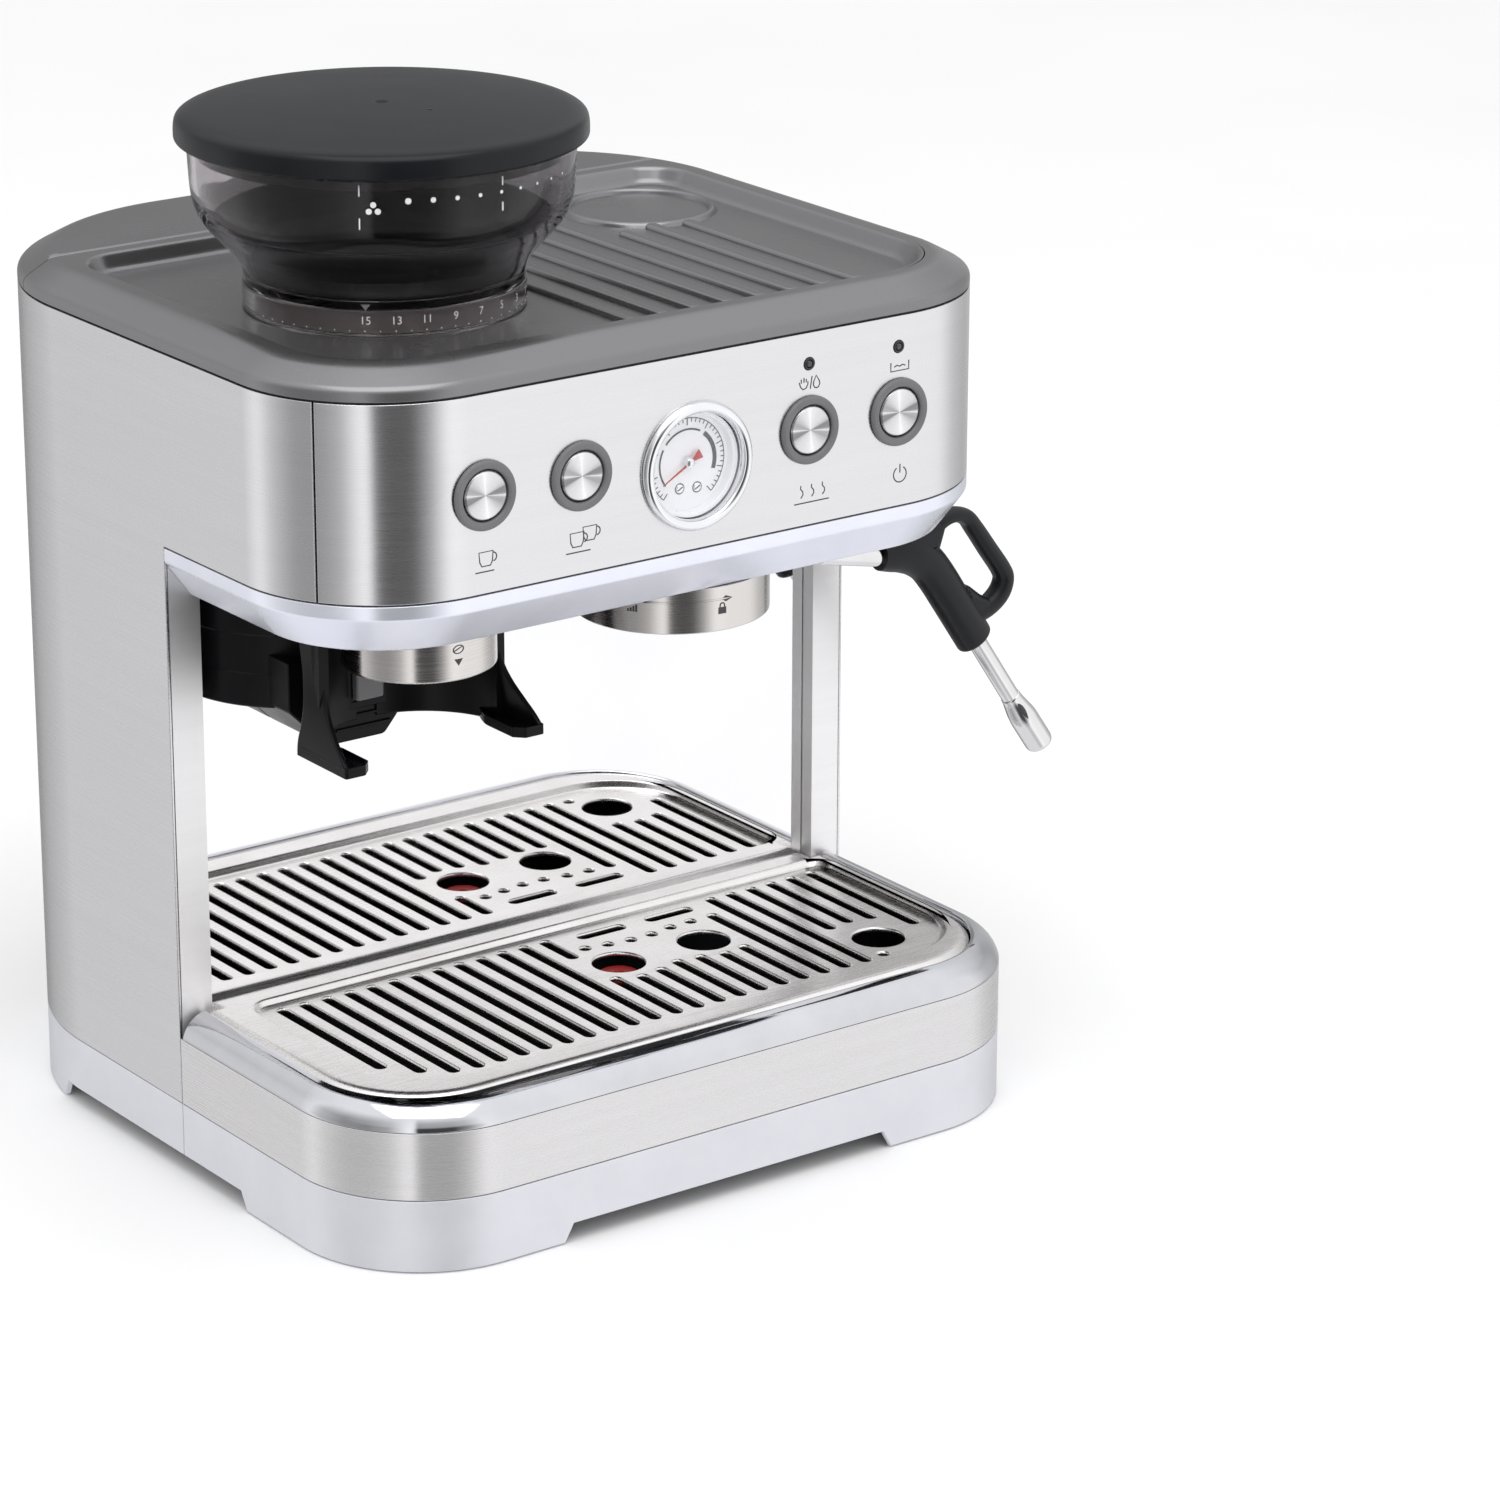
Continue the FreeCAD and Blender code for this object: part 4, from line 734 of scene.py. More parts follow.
def cover_loop(inset, back):
    """The cover's outline, set in by a distance, with a straight rear edge at y = back."""
    half, front, _, front_r, back_r = HEAD
    flat, r, rear = half - front_r, front_r - inset, back_r - inset
    turn_end = math.degrees(math.asin(min((back - REAR_CENTRE_Y) / rear, 1)))
    left = arc(-flat, front + front_r, r, 180, 270, COVER_STEPS)
    right = arc(flat, front + front_r, r, 270, 360, COVER_STEPS)
    return left + right + mirrored(arc(half - back_r, REAR_CENTRE_Y, rear, 0, turn_end, COVER_STEPS))


def shelf_loop(inset):
    """The outline of the sunken cup shelf."""
    more = inset - SHELF_INSET
    return rounded_box(inset - HEAD[0], HEAD[0] - inset, HEAD[1] + inset, SHELF_BACK - more,
                       SHELF_FRONT_R - more, SHELF_BACK_R - more, COVER_STEPS)


def cover_edge():
    """The (inset, height) section that the top cover and the tank's lid share, up to the crown."""
    return eased([(2.5, COVER_EDGE), (0, COVER_EDGE), (0, SHELF_Z), (CROWN_INSET, CROWN_Z),
                  (17.5, CROWN_Z)], [0, 0.4, 2.4, 3.0, 0], steps=6, closed=False)


def top_cover():
    well = 47.0
    rows = []
    for inset, z in cover_edge():
        lean = max(0.0, z - (CROWN_Z - 0.9))
        rows.append([(x, y, z) for x, y in cover_loop(inset, LID_SEAM - lean ** 1.5)])
    inner = eased([(SHELF_INSET - 2.2, CROWN_Z), (SHELF_INSET, CROWN_Z), (SHELF_INSET + 3.2, SHELF_Z),
                   (SHELF_INSET + 8, SHELF_Z)], [0, 1.8, 2.6, 0], steps=7, closed=False)
    rows += [[(x, y, z) for x, y in shelf_loop(inset)] for inset, z in inner]
    last = rows[-1]

    def well_loop(r, z):
        loop = []
        for x, y, _ in last:
            turn = math.atan2(y - HOPPER_Y, x - HOPPER_X)
            loop.append((HOPPER_X + r * math.cos(turn), HOPPER_Y + r * math.sin(turn), z))
        return loop

    rows += [well_loop(well + 1.2, SHELF_Z), well_loop(well + 0.35, SHELF_Z - 0.35),
             well_loop(well, SHELF_Z - 1.2), well_loop(well, SHELF_Z - 2.4)]
    sheet("cover", rows, "machine", COVER, ["top_cover"], sharp=50, close_rows=True, close_columns=True)


def shelf_ribs():
    """Ridges and a ring that keep warming cups off the shelf."""
    for k in range(8):
        x = -5.2 + 15 * k
        far = 90.0 if k < 5 else 26.0 + (3.5 if k == 6 else 0)
        mesh = flat_plate([capsule(x, -80.5, x, far, 2.9, 8)], 3.4, 1.6, 4)
        shaped("shelf_rib_%d" % (k + 1), mesh, lambda u, v, w: (u, v, SHELF_Z - 1.6 + w), "machine", COVER)
    lathe("cup_ring", [(26.6, -0.6), (27.6, 2.0), (29.6, 2.0), (31, -0.6)], [0, 1.2, 1.2, 0], 5,
          (98, 57, SHELF_Z), "machine", COVER)


def tank_cover():
    """The lid of the water tank carries on the line of the top cover."""
    edge = LID_SEAM + 0.4
    half, _, _, _, back_r = HEAD

    def loop(inset, front):
        r = back_r - inset
        start = math.degrees(math.asin((front - REAR_CENTRE_Y) / r))
        return mirrored(arc(half - back_r, REAR_CENTRE_Y, r, start, 90, 32))

    rows = []
    for inset, z in cover_edge():
        lean = max(0.0, z - (CROWN_Z - 2.2))
        rows.append([(x, y, z) for x, y in loop(inset, edge + 0.36 * lean ** 1.9)])
    sheet("tank_cover_lid", rows, "tank_cover", COVER, ["tank_lid"], sharp=50, close_columns=True, cap=True)


# ---------------------------------------------------------------- base: skirts, band and collar
def skirts():
    """The silver skirt stands on four wide feet, with slanting shoulders."""
    low, foot = span("rear_skirt")[4], 7.6
    pillar = length_to(BASE, y=PILLAR_Y)
    front_foot = length_to(BASE, y=-42)
    side_foot = length_to(BASE, y=88)
    front_in = 76.0
    rear_in = length_to(BASE, back_turn=math.pi / 2) + (BASE[0] - BASE[4]) - 0.01
    rear_foot_in = length_to(BASE, back_turn=math.radians(72))
    ramp = 4.0
    top = BAND_Z
    front = []
    for side in (1, -1):
        part = [(front_in - ramp, foot), (front_in, low), (front_foot - ramp, low), (front_foot, foot),
                (pillar - 0.4, foot), (pillar - 0.4, top)]
        part = [(side * s, z) for s, z in part]
        front += part if side > 0 else list(reversed(part))
    wrapped("tray_skirt_sheet", [front], BASE, 2.5, "tray", SILVER, ["tray_skirt"], ease=0.45)
    for side, name in ((-1, "left"), (1, "right")):
        run = [(pillar, foot), (side_foot, foot), (side_foot + ramp, low), (rear_foot_in, low),
               (rear_foot_in + ramp, foot), (rear_in, foot), (rear_in, top), (pillar, top)]
        wrapped("skirt_" + name, [[(side * s, z) for s, z in run]], BASE, 2.5, "machine", SILVER,
                ["rear_skirt"], ease=0.45)


def band():
    pillar = length_to(BASE, y=PILLAR_Y) - 0.4
    run = box_run(-pillar, BAND_Z + 0.35, pillar, COLLAR_Z - 0.2)
    wrapped("tray_band_sheet", [run], BASE, 1.2, "tray", BAND_STEEL, ["tray_band"], ease=0.3)


def collar():
    """The bright collar is a little upright lip and a rounded slope up to the grille."""
    z = COLLAR_Z
    section = [(0, z), (0, z + 1.3), (2.4, z + 5.4), (7.2, z + 8.6), (12.0, z + 9.8), (13.2, z + 9.0),
               (13.2, z + 6.0), (11.6, z + 6.2), (3.4, z)]
    section = eased(section, [0.3, 1.0, 2.4, 3.0, 0.7, 0.5, 0.5, 1.5, 0.3], steps=4)
    side_share = 10.4 / 12.9

    def run(inset):
        return front_run(BASE, inset * side_share, inset, PILLAR_Y - 2.4, 32)

    swept("tray_collar_rim", section, run, "tray", COLLAR_CHROME, ["tray_collar"])


dress_cad()
panels()
# dark strips that paint the shade in the seams
seam_backing()
trim()
top_cover()
shelf_ribs()
tank_cover()
skirts()
band()
collar()


# ---------------------------------------------------------------- drip grille
_, GRILLE_SIDE, GRILLE_FRONT, GRILLE_BACK, _, _ = span("drip_grille")
GRILLE_R = 42.0
JAMB_IN = HALF - 14.5 - 0.6
SUNK_LEFT, SUNK_RIGHT, SUNK_FRONT, SUNK_BACK = -129.2, 140.0, -110.0, -8.5
SUNK_FRONT_R, SUNK_BACK_R = 34.0, 8.0


def sunk_loop(spare):
    """The edge of the grille's sunken floor, made wider by a distance."""
    return rounded_box(SUNK_LEFT - spare, SUNK_RIGHT + spare, SUNK_FRONT - spare, SUNK_BACK + spare,
                       SUNK_FRONT_R + spare, SUNK_BACK_R + spare, 16)


def grille_loop(inset):
    """The grille's outer edge. Its rear corners are notched to pass between the pillars."""
    side, front, back, r = GRILLE_SIDE - inset, GRILLE_FRONT + inset, GRILLE_BACK - inset, GRILLE_R - inset
    neck, notch = JAMB_IN - inset, PILLAR_Y - 0.9 - inset
    right = [(side - (side - neck) * k / 8, notch) for k in range(9)]
    right += [(neck, notch + (back - notch) * k / 8) for k in range(1, 9)]
    return arc(r - side, front + r, r, 180, 270) + arc(side - r, front + r, r, 270, 360) + mirrored(right)


def grille():
    low = SLOT_Z - 1.2
    outer = eased([(0, low), (0, SLOT_Z + 0.3), (3.2, RIM_Z), (6.5, RIM_Z)], [0, 0.8, 1.6, 0], 4,
                  closed=False)
    rows = [[(x, y, z) for x, y in grille_loop(inset)] for inset, z in outer]
    inner = eased([(3.2, RIM_Z), (2.0, RIM_Z), (0.2, SLOT_Z), (-1.5, SLOT_Z)], [0, 0.9, 0.9, 0], 5,
                  closed=False)
    rows += [[(x, y, z) for x, y in sunk_loop(spare)] for spare, z in inner]
    rows.append([(x, y, low) for x, y in sunk_loop(-1.5)])
    sheet("grille_rim", rows, "grille", PRESSED, ["drip_grille"], sharp=45, close_rows=True,
          close_columns=True)

    half = 2.2
    cuts = []
    # where the slots follow the rounded corners, and where they stop at the round holes
    front_end = {0: -82, 1: -93.6, 2: -100.6, 22: -66.5, 23: -64.6, 24: -66.6, 25: -81}
    stop = {12: -62.4, 13: -66, 14: -64.6, 15: -61.4, 16: -62.8, 17: -65.2, 18: -64, 19: -29.4}
    for k in range(26):
        x = -118.8 + 10 * k
        cuts.append(capsule(x, front_end.get(k, -102), x, stop.get(k, -14.6), half))
        if k == 12:
            cuts.append(capsule(x, -33, x, -14.6, half))
    cuts += [capsule(x - 8.5, -17.8, x + 8.5, -17.8, 2.5) for x in (25.5, 58)]
    cuts += [circle(x, y, half, 16) for x, y in ((10.2, -28.7), (20, -30.2), (30, -31.6), (40.1, -31.4),
                                                 (50.4, -29.6), (60.6, -29), (100.7, -101.2))]
    cuts += [circle(x, y, 10.4, 48) for x, y in ((12.4, -48.3), (52.7, -48.7), (109.8, -86.3))]
    thick = 2.0
    mesh = flat_plate([sunk_loop(-0.6)] + cuts, thick, 0.9, 3)
    shaped("grille_floor", mesh, lambda u, v, w: (u, v, SLOT_Z - thick + w), "grille", PRESSED,
           ["drip_grille"], sharp=60)


def tray_inside():
    low = span("tray_float")[4]
    cap = [(0, 56.0), (8.4, 56.0), (8.6, 56.4), (8.6, 56.8), (7.6, 58), (2.6, 58), (2.2, 57.4), (0, 57.4)]
    body = [(0, low), (8.2, low), (8.4, 50), (8.4, 56.0), (0, 56.0)]
    x, y, _ = middle("tray_float")
    for name, section, radii, material in (("full_float", cap, [0, 0.2, 0.2, 0.3, 0.6, 0.3, 0.3, 0], RED),
                                           ("float_body", body, [0, 0.6, 0.6, 0.2, 0], BLACK)):
        section = [(r, z - low) for r, z in section]
        lathe(name, section, radii, 3, (x, y, low), "float", material, ["tray_float"])


# ---------------------------------------------------------------- hopper
RING_R, BOWL_R = 52.5, 71.2
POINTER_TURN = -40.5


def hopper():
    centre = (HOPPER_X, HOPPER_Y, 0)
    lid_z = span("hopper_lid")[5] - 12.5
    section = [(0, 11.7), (1.9, 11.7), (2.6, 12.35), (30, 12.1), (56, 11.2), (70.5, 10.3), (75.2, 8.6),
               (76, 5.6), (76, 1.0), (75.2, 0.2), (68, 0.2), (68, -5), (66, -5), (66, 6.6), (0, 9.4)]
    lathe("hopper_cover", section, [0, 0.5, 0.8, 8, 8, 4, 2.6, 2.6, 0.7, 0.7, 0.4, 0.5, 0.5, 2, 0], 5,
          (HOPPER_X, HOPPER_Y, lid_z), "hopper_cap", GLOSS, ["hopper_lid"], steps=128, sharp=50)
    lathe("cover_gate_mark", [(0, 0), (0.9, 0), (0.9, 0.3), (0, 0.3)], [0, 0.1, 0.1, 0], 2,
          (HOPPER_X + 8, HOPPER_Y - 20, lid_z + 12.05), "hopper_cap", BLACK, steps=20, slot="gloss_black")

    outer = [(52.3, 342), (54.5, 346), (58, 350.5), (63.5, 356), (67.5, 361), (69.8, 366.5), (70.6, 372),
             (71.5, 388.9)]
    inner = [(69.3, 388.9), (68.2, 372), (67.4, 367.5), (65.3, 362.8), (61.6, 358.2), (56, 352.5),
             (52.2, 347.6), (50, 342.5), (49.6, 340), (36, 331), (34, 328), (34, 300)]
    neck = [(37, 300), (37, 329), (47.5, 329), (47.5, 337.2), (51.9, 337.2)]
    lathe("bowl_wall", neck + outer + inner, [0.4] * 5 + [2.5] * 7 + [0.7, 0.7] + [2.5] * 9 + [1, 0.4], 3,
          centre, "hopper", SMOKED, ["hopper_bowl"], steps=128, sharp=50)
    # the dark funnel that leads the beans down
    funnel = [(33.4, 302), (33.4, 328.6), (35.2, 332), (48.8, 341), (49.4, 343), (51.4, 347.6),
              (55.4, 352.9), (61, 358.6), (62.8, 360.4), (61.6, 360.6), (54.4, 353.8), (50.2, 348.4),
              (48, 343.4), (34, 333.6), (32.2, 329), (32.2, 302)]
    lathe("bean_funnel", funnel, 0.6, 2, centre, "hopper", BLACK, sharp=50)

    ring_low, ring_high = span("hopper_ring")[4], span("hopper_ring")[5]
    lathe("grind_ring", box_run(48, ring_low, RING_R, ring_high), 0.7, 3, centre, "hopper", RING_CLEAR,
          ["hopper_ring"], steps=128)
    lathe("ring_core", box_run(47.62, ring_low + 0.4, 47.9, ring_high - 0.3), 0.05, 1, centre, "hopper",
          RING_CORE)


def print_round(name, mesh, centre, radius, angle, height, body="hopper", material=INK_LIGHT, lift=-0.06):
    """A thin print in (across, up) wrapped round an upright drum, at an angle from the front in degrees."""
    def where(u, v, w):
        turn = math.radians(angle) + u / radius
        r = radius + lift + w
        return centre[0] + r * math.sin(turn), centre[1] - r * math.cos(turn), height + v

    shaped(name, mesh, where, body, material, sharp=30)


def ink_plate(run, thick=0.16):
    return flat_plate([run], thick, 0.03, 1)


def flat_number(text, size):
    """A number as a flat mesh in mm, with its middle at the origin."""
    font = bpy.data.curves.new("number", "FONT")
    font.body, font.size, font.align_x, font.align_y = text, size, "CENTER", "CENTER"
    holder = bpy.data.objects.new("number", font)
    bpy.context.scene.collection.objects.link(holder)
    mesh = bpy.data.meshes.new_from_object(holder)
    bpy.data.objects.remove(holder)
    bpy.data.curves.remove(font)
    return mesh


def hopper_prints():
    axis = (HOPPER_X, HOPPER_Y)
    for k, number in enumerate((15, 13, 11, 9, 7, 5, 3, 1)):
        angle = POINTER_TURN + 12.3 * k
        print_round("grind_number_%d" % number, flat_number(str(number), 4.2), axis, RING_R, angle, 333.2,
                    lift=0.08)
    for k in range(25):
        print_round("grind_dot_%d" % k, ink_plate(circle(0, 0, 0.28, 10)), axis, RING_R, -90 + 6.15 * k,
                    329.4)
    print_round("grind_pointer", ink_plate([(-1.7, 0.9), (0, -1.3), (1.7, 0.9)]), axis, RING_R - 0.9,
                POINTER_TURN, 338.2)
    for k, size in enumerate((1.15, 1.0, 0.85, 0.75, 0.65, 0.6, 0.55, 0.5, 0.45)):
        print_round("coarseness_dot_%d" % k, ink_plate(circle(0, 0, size, 20)), axis, BOWL_R - 0.1,
                    -25.5 + 7.3 * k, 381.2 + 0.3 * size)
    ticks = ((-39.5, 383.5, 387.5), (-39.5, 371.5, 375.5), (4, 383.8, 387), (4, 374.5, 377.7))
    for k, (angle, low, high) in enumerate(ticks):
        print_round("bowl_tick_%d" % k, ink_plate(box_run(-0.22, low, 0.22, high), 0.5), axis,
                    BOWL_R - 0.25, angle, 0)
    # three grains for the coarse end
    for k, (u, v) in enumerate(((-1.6, 0), (1.6, 0), (0, 2.4))):
        print_round("coarse_grain_%d" % k, ink_plate(circle(u, v, 1.1, 16)), axis, BOWL_R - 0.1, -35.5, 378)


# ---------------------------------------------------------------- front controls
FLATTEN = 0.2      # how thick a printed line is, as a share of its width


def buttons():
    for name in BUTTONS:
        x, _, z = middle(name + "_bezel")
        place = (x, span(name + "_bezel")[2], z)
        ring = [(9.7, 0.9), (10.2, 0.1), (12.3, 0), (13, 0.9), (13, 1.8), (11.2, 1.8), (11.2, 9), (9.7, 9)]
        lathe(name + "_ring", ring, [0.3, 0.5, 0.6, 0.5, 0.2, 0.2, 0.2, 0.2], 3, place, "machine",
              RING_GREY, [name + "_bezel"], back=True, steps=72)
        cap = [(0, 1.0), (4.5, 0.86), (8.1, 0.6), (8.7, 0.75), (9.1, 1.3), (9.1, 8.4), (0, 8.4)]
        lathe(name + "_cap", cap, [0, 2, 0.2, 0.3, 0.4, 0.3, 0], 3, place, name, SPUN_FACE_PAINTED_HIGHLIGHTS,
              [name + "_button"], back=True, steps=72)
        # painted shade: a black ring deep in the gap between the cap and its ring stands in for the shade
        # there
        lathe(name + "_gap", box_run(9.2, 2.6, 9.65, 3), 0, 1, place, "machine", BLACK, back=True, steps=48)
    for name in LAMPS:
        x, _, z = middle(name)
        place = (x, span(name)[2], z)
        lathe(name + "_lens", [(0, 0.25), (1.1, 0.3), (1.5, 0.9), (1.5, 5.5), (0, 5.5)],
              [0, 0.3, 0.3, 0.2, 0], 3, place, "machine", LAMP, [name], back=True, steps=32)
        lathe(name + "_rim", [(1.55, 0.5), (1.8, 0.25), (2.3, 0.35), (2.35, 0.7), (2.35, 1.5), (1.55, 1.5)],
              0.12, 2, place, "machine", BLACK, back=True, steps=36)


def strokes(name, runs, width=0.56, depth_y=HEAD_FRONT - 0.02):
    """Pen strokes printed on the upright front: each run of (x, z) points becomes a thin flat line."""
    curve = bpy.data.curves.new(name, "CURVE")
    curve.dimensions = "3D"
    curve.bevel_depth = width / 2
    curve.bevel_resolution = 1
    curve.use_fill_caps = True
    for run in runs:
        closed = run[0] == run[-1]
        pts = run[:-1] if closed else run
        spline = curve.splines.new("POLY")
        spline.points.add(len(pts) - 1)
        for point, (x, z) in zip(spline.points, pts):
            point.co = (x, 0, z, 1)
        spline.use_cyclic_u = closed
    holder = bpy.data.objects.new(name, curve)
    mesh = bpy.data.meshes.new_from_object(holder)
    bpy.data.objects.remove(holder)
    bpy.data.curves.remove(curve)
    shaped(name, mesh, lambda x, y, z: (x, depth_y + y * FLATTEN, z), "machine", DARK_INK_AND_SHADE, sharp=30)


def moved(run, x, z, size=1.0):
    return [(x + u * size, z + v * size) for u, v in run]


def cup_icon(x, z, size=3.0):
    """A cup with its handle."""
    bowl = [(-1, 0.9), (-0.9, -0.3), (-0.62, -0.85), (0.62, -0.85), (0.9, -0.3), (1, 0.9), (-1, 0.9)]
    return [moved(bowl, x, z, size), arc(x + size * 0.95, z + size * 0.15, size * 0.55, 80, -80, 10)]


def front_prints():
    """Small line drawings beside the buttons and lamps."""
    x, z = middle("one_cup_bezel")[0] + 0.5, 261.5
    strokes("one_cup_icon", cup_icon(x, z) + [moved([(-4.6, -4.6), (3.4, -4.6)], x, z)])
    x = middle("two_cup_bezel")[0] + 0.6
    saucer = moved([(-7.2, -4.6), (3.4, -4.6)], x, z)
    strokes("two_cup_icon", cup_icon(x + 3.2, z + 1.6) + cup_icon(x - 2.4, z) + [saucer])
    drop = [(3.2, 2.6), (2.1, 0.4), (1.9, -0.8), (2.5, -1.9), (3.4, -2.2), (4.3, -1.9), (4.9, -0.8),
            (4.6, 0.4), (3.2, 2.6)]
    steam = [[(-4.6, 0.9), (-3.9, -1.0), (-2.8, -2.0), (-1.4, -1.6), (-0.6, -0.2), (-0.6, 0.9)],
             [(-3.6, 0.4), (-3.7, 2.0)], [(-2.4, 0.6), (-2.4, 2.4)], [(-1.4, 0.6), (-1.3, 1.9)],
             [(0.5, -2.2), (1.3, 2.6)], drop]
    x, z = middle("steam_light")[0], 302.8
    strokes("steam_or_water_icon", [moved(run, x, z) for run in steam])
    x = middle("descale_light")[0] + 0.6
    tank = [(-4.2, 1.6), (-4.2, -1.8), (4.2, -1.8), (4.2, 1.6)]
    waves = [(-2.6 + 1.3 * k, 0.3 if k % 2 else -0.2) for k in range(5)]
    strokes("descale_icon", [moved(tank, x, z), moved(waves, x, z)])
    # three curls of steam over a line for steam and hot water
    curl = [(0, -1.6), (1.0, -0.4), (0.9, 0.8), (-0.1, 1.9), (0, 3.2)]
    x, z = 52.5, 261.0
    curls = [moved(curl, x + step, z) for step in (-5, 0, 5)]
    strokes("steam_icon", curls + [moved([(-8, -3.6), (8, -3.6)], x, z)])
    x, z = 93.8, 260.8
    strokes("power_icon", [arc(x, z, 3.0, 122, 418, 24), [(x, z + 0.6), (x, z + 4.0)]])


def gauge():
    x, _, z = middle("gauge_bezel")
    front = span("gauge_bezel")[2]
    place = (x, front, z)
    rim = [(19.9, 2.2), (20.4, 0.7), (22.0, 0), (23.4, 0.5), (24.3, 1.8), (24.3, 3.1), (21.8, 3.1),
           (21.8, 20), (0, 20), (0, 18.4), (20.3, 18.4), (20.3, 3.4), (19.9, 3)]
    lathe("gauge_ring", rim, [0, 0.9, 1.2, 0.9, 0.6, 0.3, 0.1, 0.5, 0, 0, 0.3, 0.1, 0], 4, place, "machine",
          CHROME, ["gauge_bezel"], back=True)
    # a white step leads down to the dial
    lathe("gauge_step", [(18.2, 5.2), (19.85, 4.8), (19.85, 9), (18.2, 9)], [0.5, 0.2, 0.1, 0.1], 3, place,
          "machine", DIAL, back=True, steps=72)
    dial_y = front + 8.9
    ticks = []
    for k in range(41):
        turn = math.radians(230 - 280 * k / 40)
        inner = 13.8 if k % 5 == 0 else 15.0
        ticks.append([(x + r * math.cos(turn), z + r * math.sin(turn)) for r in (inner, 16.4)])
    strokes("gauge_ticks", ticks, 0.42, dial_y)
    strokes("gauge_arc", [arc(x, z, 16.5, 230, -50, 60)], 0.36, dial_y)
    bands = (("low", 218, 150, 0.8), ("range", 140, 62, 0.8), ("high", 52, -20, 1.9))
    for name, start, stop, width in bands:
        strokes("gauge_%s_band" % name, [arc(x, z, 12.3, start, stop, 24)], width, dial_y)
    # painted shade: a dark ring round the foot of each screw, and a dark stroke for the slot in its head
    screws = ((-3.4, -9.6), (4.4, -10.2))
    strokes("screw_shade_rings", [arc(x + u, z + v, 1.9, 0, 360, 20) for u, v in screws], 0.5, dial_y)
    for k, (u, v) in enumerate(screws):
        lathe("dial_screw_%d" % (k + 1), [(0, -0.35), (1.5, -0.35), (1.8, 0), (0, 0)], [0, 0.2, 0.1, 0], 2,
              (x + u, dial_y, z + v), "machine", CHROME, back=True, steps=24)
        strokes("screw_slot_%d" % (k + 1), [moved([(-1.1, -0.6), (1.1, 0.6)], x + u, z + v)], 0.6,
                dial_y - 0.36)
    tail, waist, tip = (5.0, 2.9), (1.6, 0.9), (-12.0, -6.9)
    y = front + 7.0
    lean = math.atan2(tip[1], tip[0])
    across = (-math.sin(lean), math.cos(lean))
    stations = ((tail, 1.9), (waist, 0.55), (tip, 0.14), (tip, -0.14), (waist, -0.55), (tail, -1.9))
    blade = [(x + u + across[0] * half, z + v + across[1] * half) for (u, v), half in stations]
    upright_plate("needle_blade", [eased(blade, 0.25, 2)], 0.5, 0.12, 2, y + 0.5, "needle", RED,
                  ["gauge_needle"])
    lathe("needle_hub", [(0, -1.1), (0.7, -1.1), (1.9, -0.5), (2.1, 0.2), (2.1, 1.2), (0, 1.2)],
          [0, 0.2, 0.5, 0.2, 0.1, 0], 3, (x, y, z), "needle", CHROME, back=True, steps=36)
    lathe("gauge_window", [(0, 3.0), (14, 3.2), (19.8, 3.9), (19.8, 4.6), (0, 4.2)], [0, 4, 0.2, 0.2, 0], 4,
          place, "machine", CLEAR, ["gauge_lens"], back=True, steps=72)


grille()
tray_inside()
hopper()
hopper_prints()
buttons()
front_prints()
gauge()


# ---------------------------------------------------------------- under the head
def outlet_and_group():
    height = CEILING_Z - COLLAR_BOTTOM + 0.1
    lathe("outlet_sleeve", box_run(24.4, 0, 28.5, height), [0.6, 1.1, 0.3, 0.3], 4,
          (OUTLET_X, OUTLET_Y, COLLAR_BOTTOM), "machine", SPUN_UPRIGHT, ["outlet_collar"], steps=128)
    lathe("lock_sleeve", [(35.6, 0), (36.9, 0), (36.9, height), (34.5, height), (34.5, 8), (35.6, 8)],
          [0.4, 0.5, 0.2, 0.2, 0.2, 0.4], 3, (GROUP_X, OUTLET_Y, COLLAR_BOTTOM), "machine", SPUN_UPRIGHT,
          ["lock_ring"], steps=128)
    screen_low = span("shower_screen")[4]
    screen = [(0, 0.3), (4, 0.3), (4.6, 0), (23, 0), (26.4, 1.2), (26.4, 4.8), (24.6, 4.8), (24.6, 1.8),
              (0, 1.4)]
    lathe("spray_screen", screen, [0, 0.3, 0.3, 0.8, 0.6, 0.3, 0.3, 0.3, 0], 3,
          (GROUP_X, OUTLET_Y, screen_low), "machine", PRESSED, ["shower_screen"])
    holes = []
    for ring in range(2, 8):
        for k in range(6 * ring):
            turn = 2 * math.pi * k / (6 * ring)
            holes.append((3.1 * ring * math.cos(turn), 3.1 * ring * math.sin(turn)))
    # painted shade: the screen's holes are black discs just under it, which stand in for the shade inside
    # the holes
    points, faces = [], []
    for x, y in holes:
        start = len(points)
        points += [(GROUP_X + x + 0.55 * math.cos(k), OUTLET_Y + y + 0.55 * math.sin(k), screen_low - 0.03)
                   for k in (0, 1.05, 2.09, 3.14, 4.19, 5.24)]
        faces.append(tuple(range(start, start + 6)))
    finish_piece(from_points("screen_holes", points, faces), "machine", BLACK, weighted=False)
    lathe("screen_screw", [(0, -0.7), (2.6, -0.7), (3.4, -0.2), (3.6, 0.3), (0, 0.3)],
          [0, 0.3, 0.3, 0.1, 0], 3, (GROUP_X, OUTLET_Y, screen_low), "machine", CHROME, steps=36)


def on_sleeve(name, outlines, centre_x, radius, angle):
    """A dark print on one of the two sleeves, measured up from its lower edge."""
    print_round(name, flat_plate(outlines, 0.14, 0.03, 1), (centre_x, OUTLET_Y), radius, angle,
                COLLAR_BOTTOM, "machine", DARK_INK_AND_SHADE)


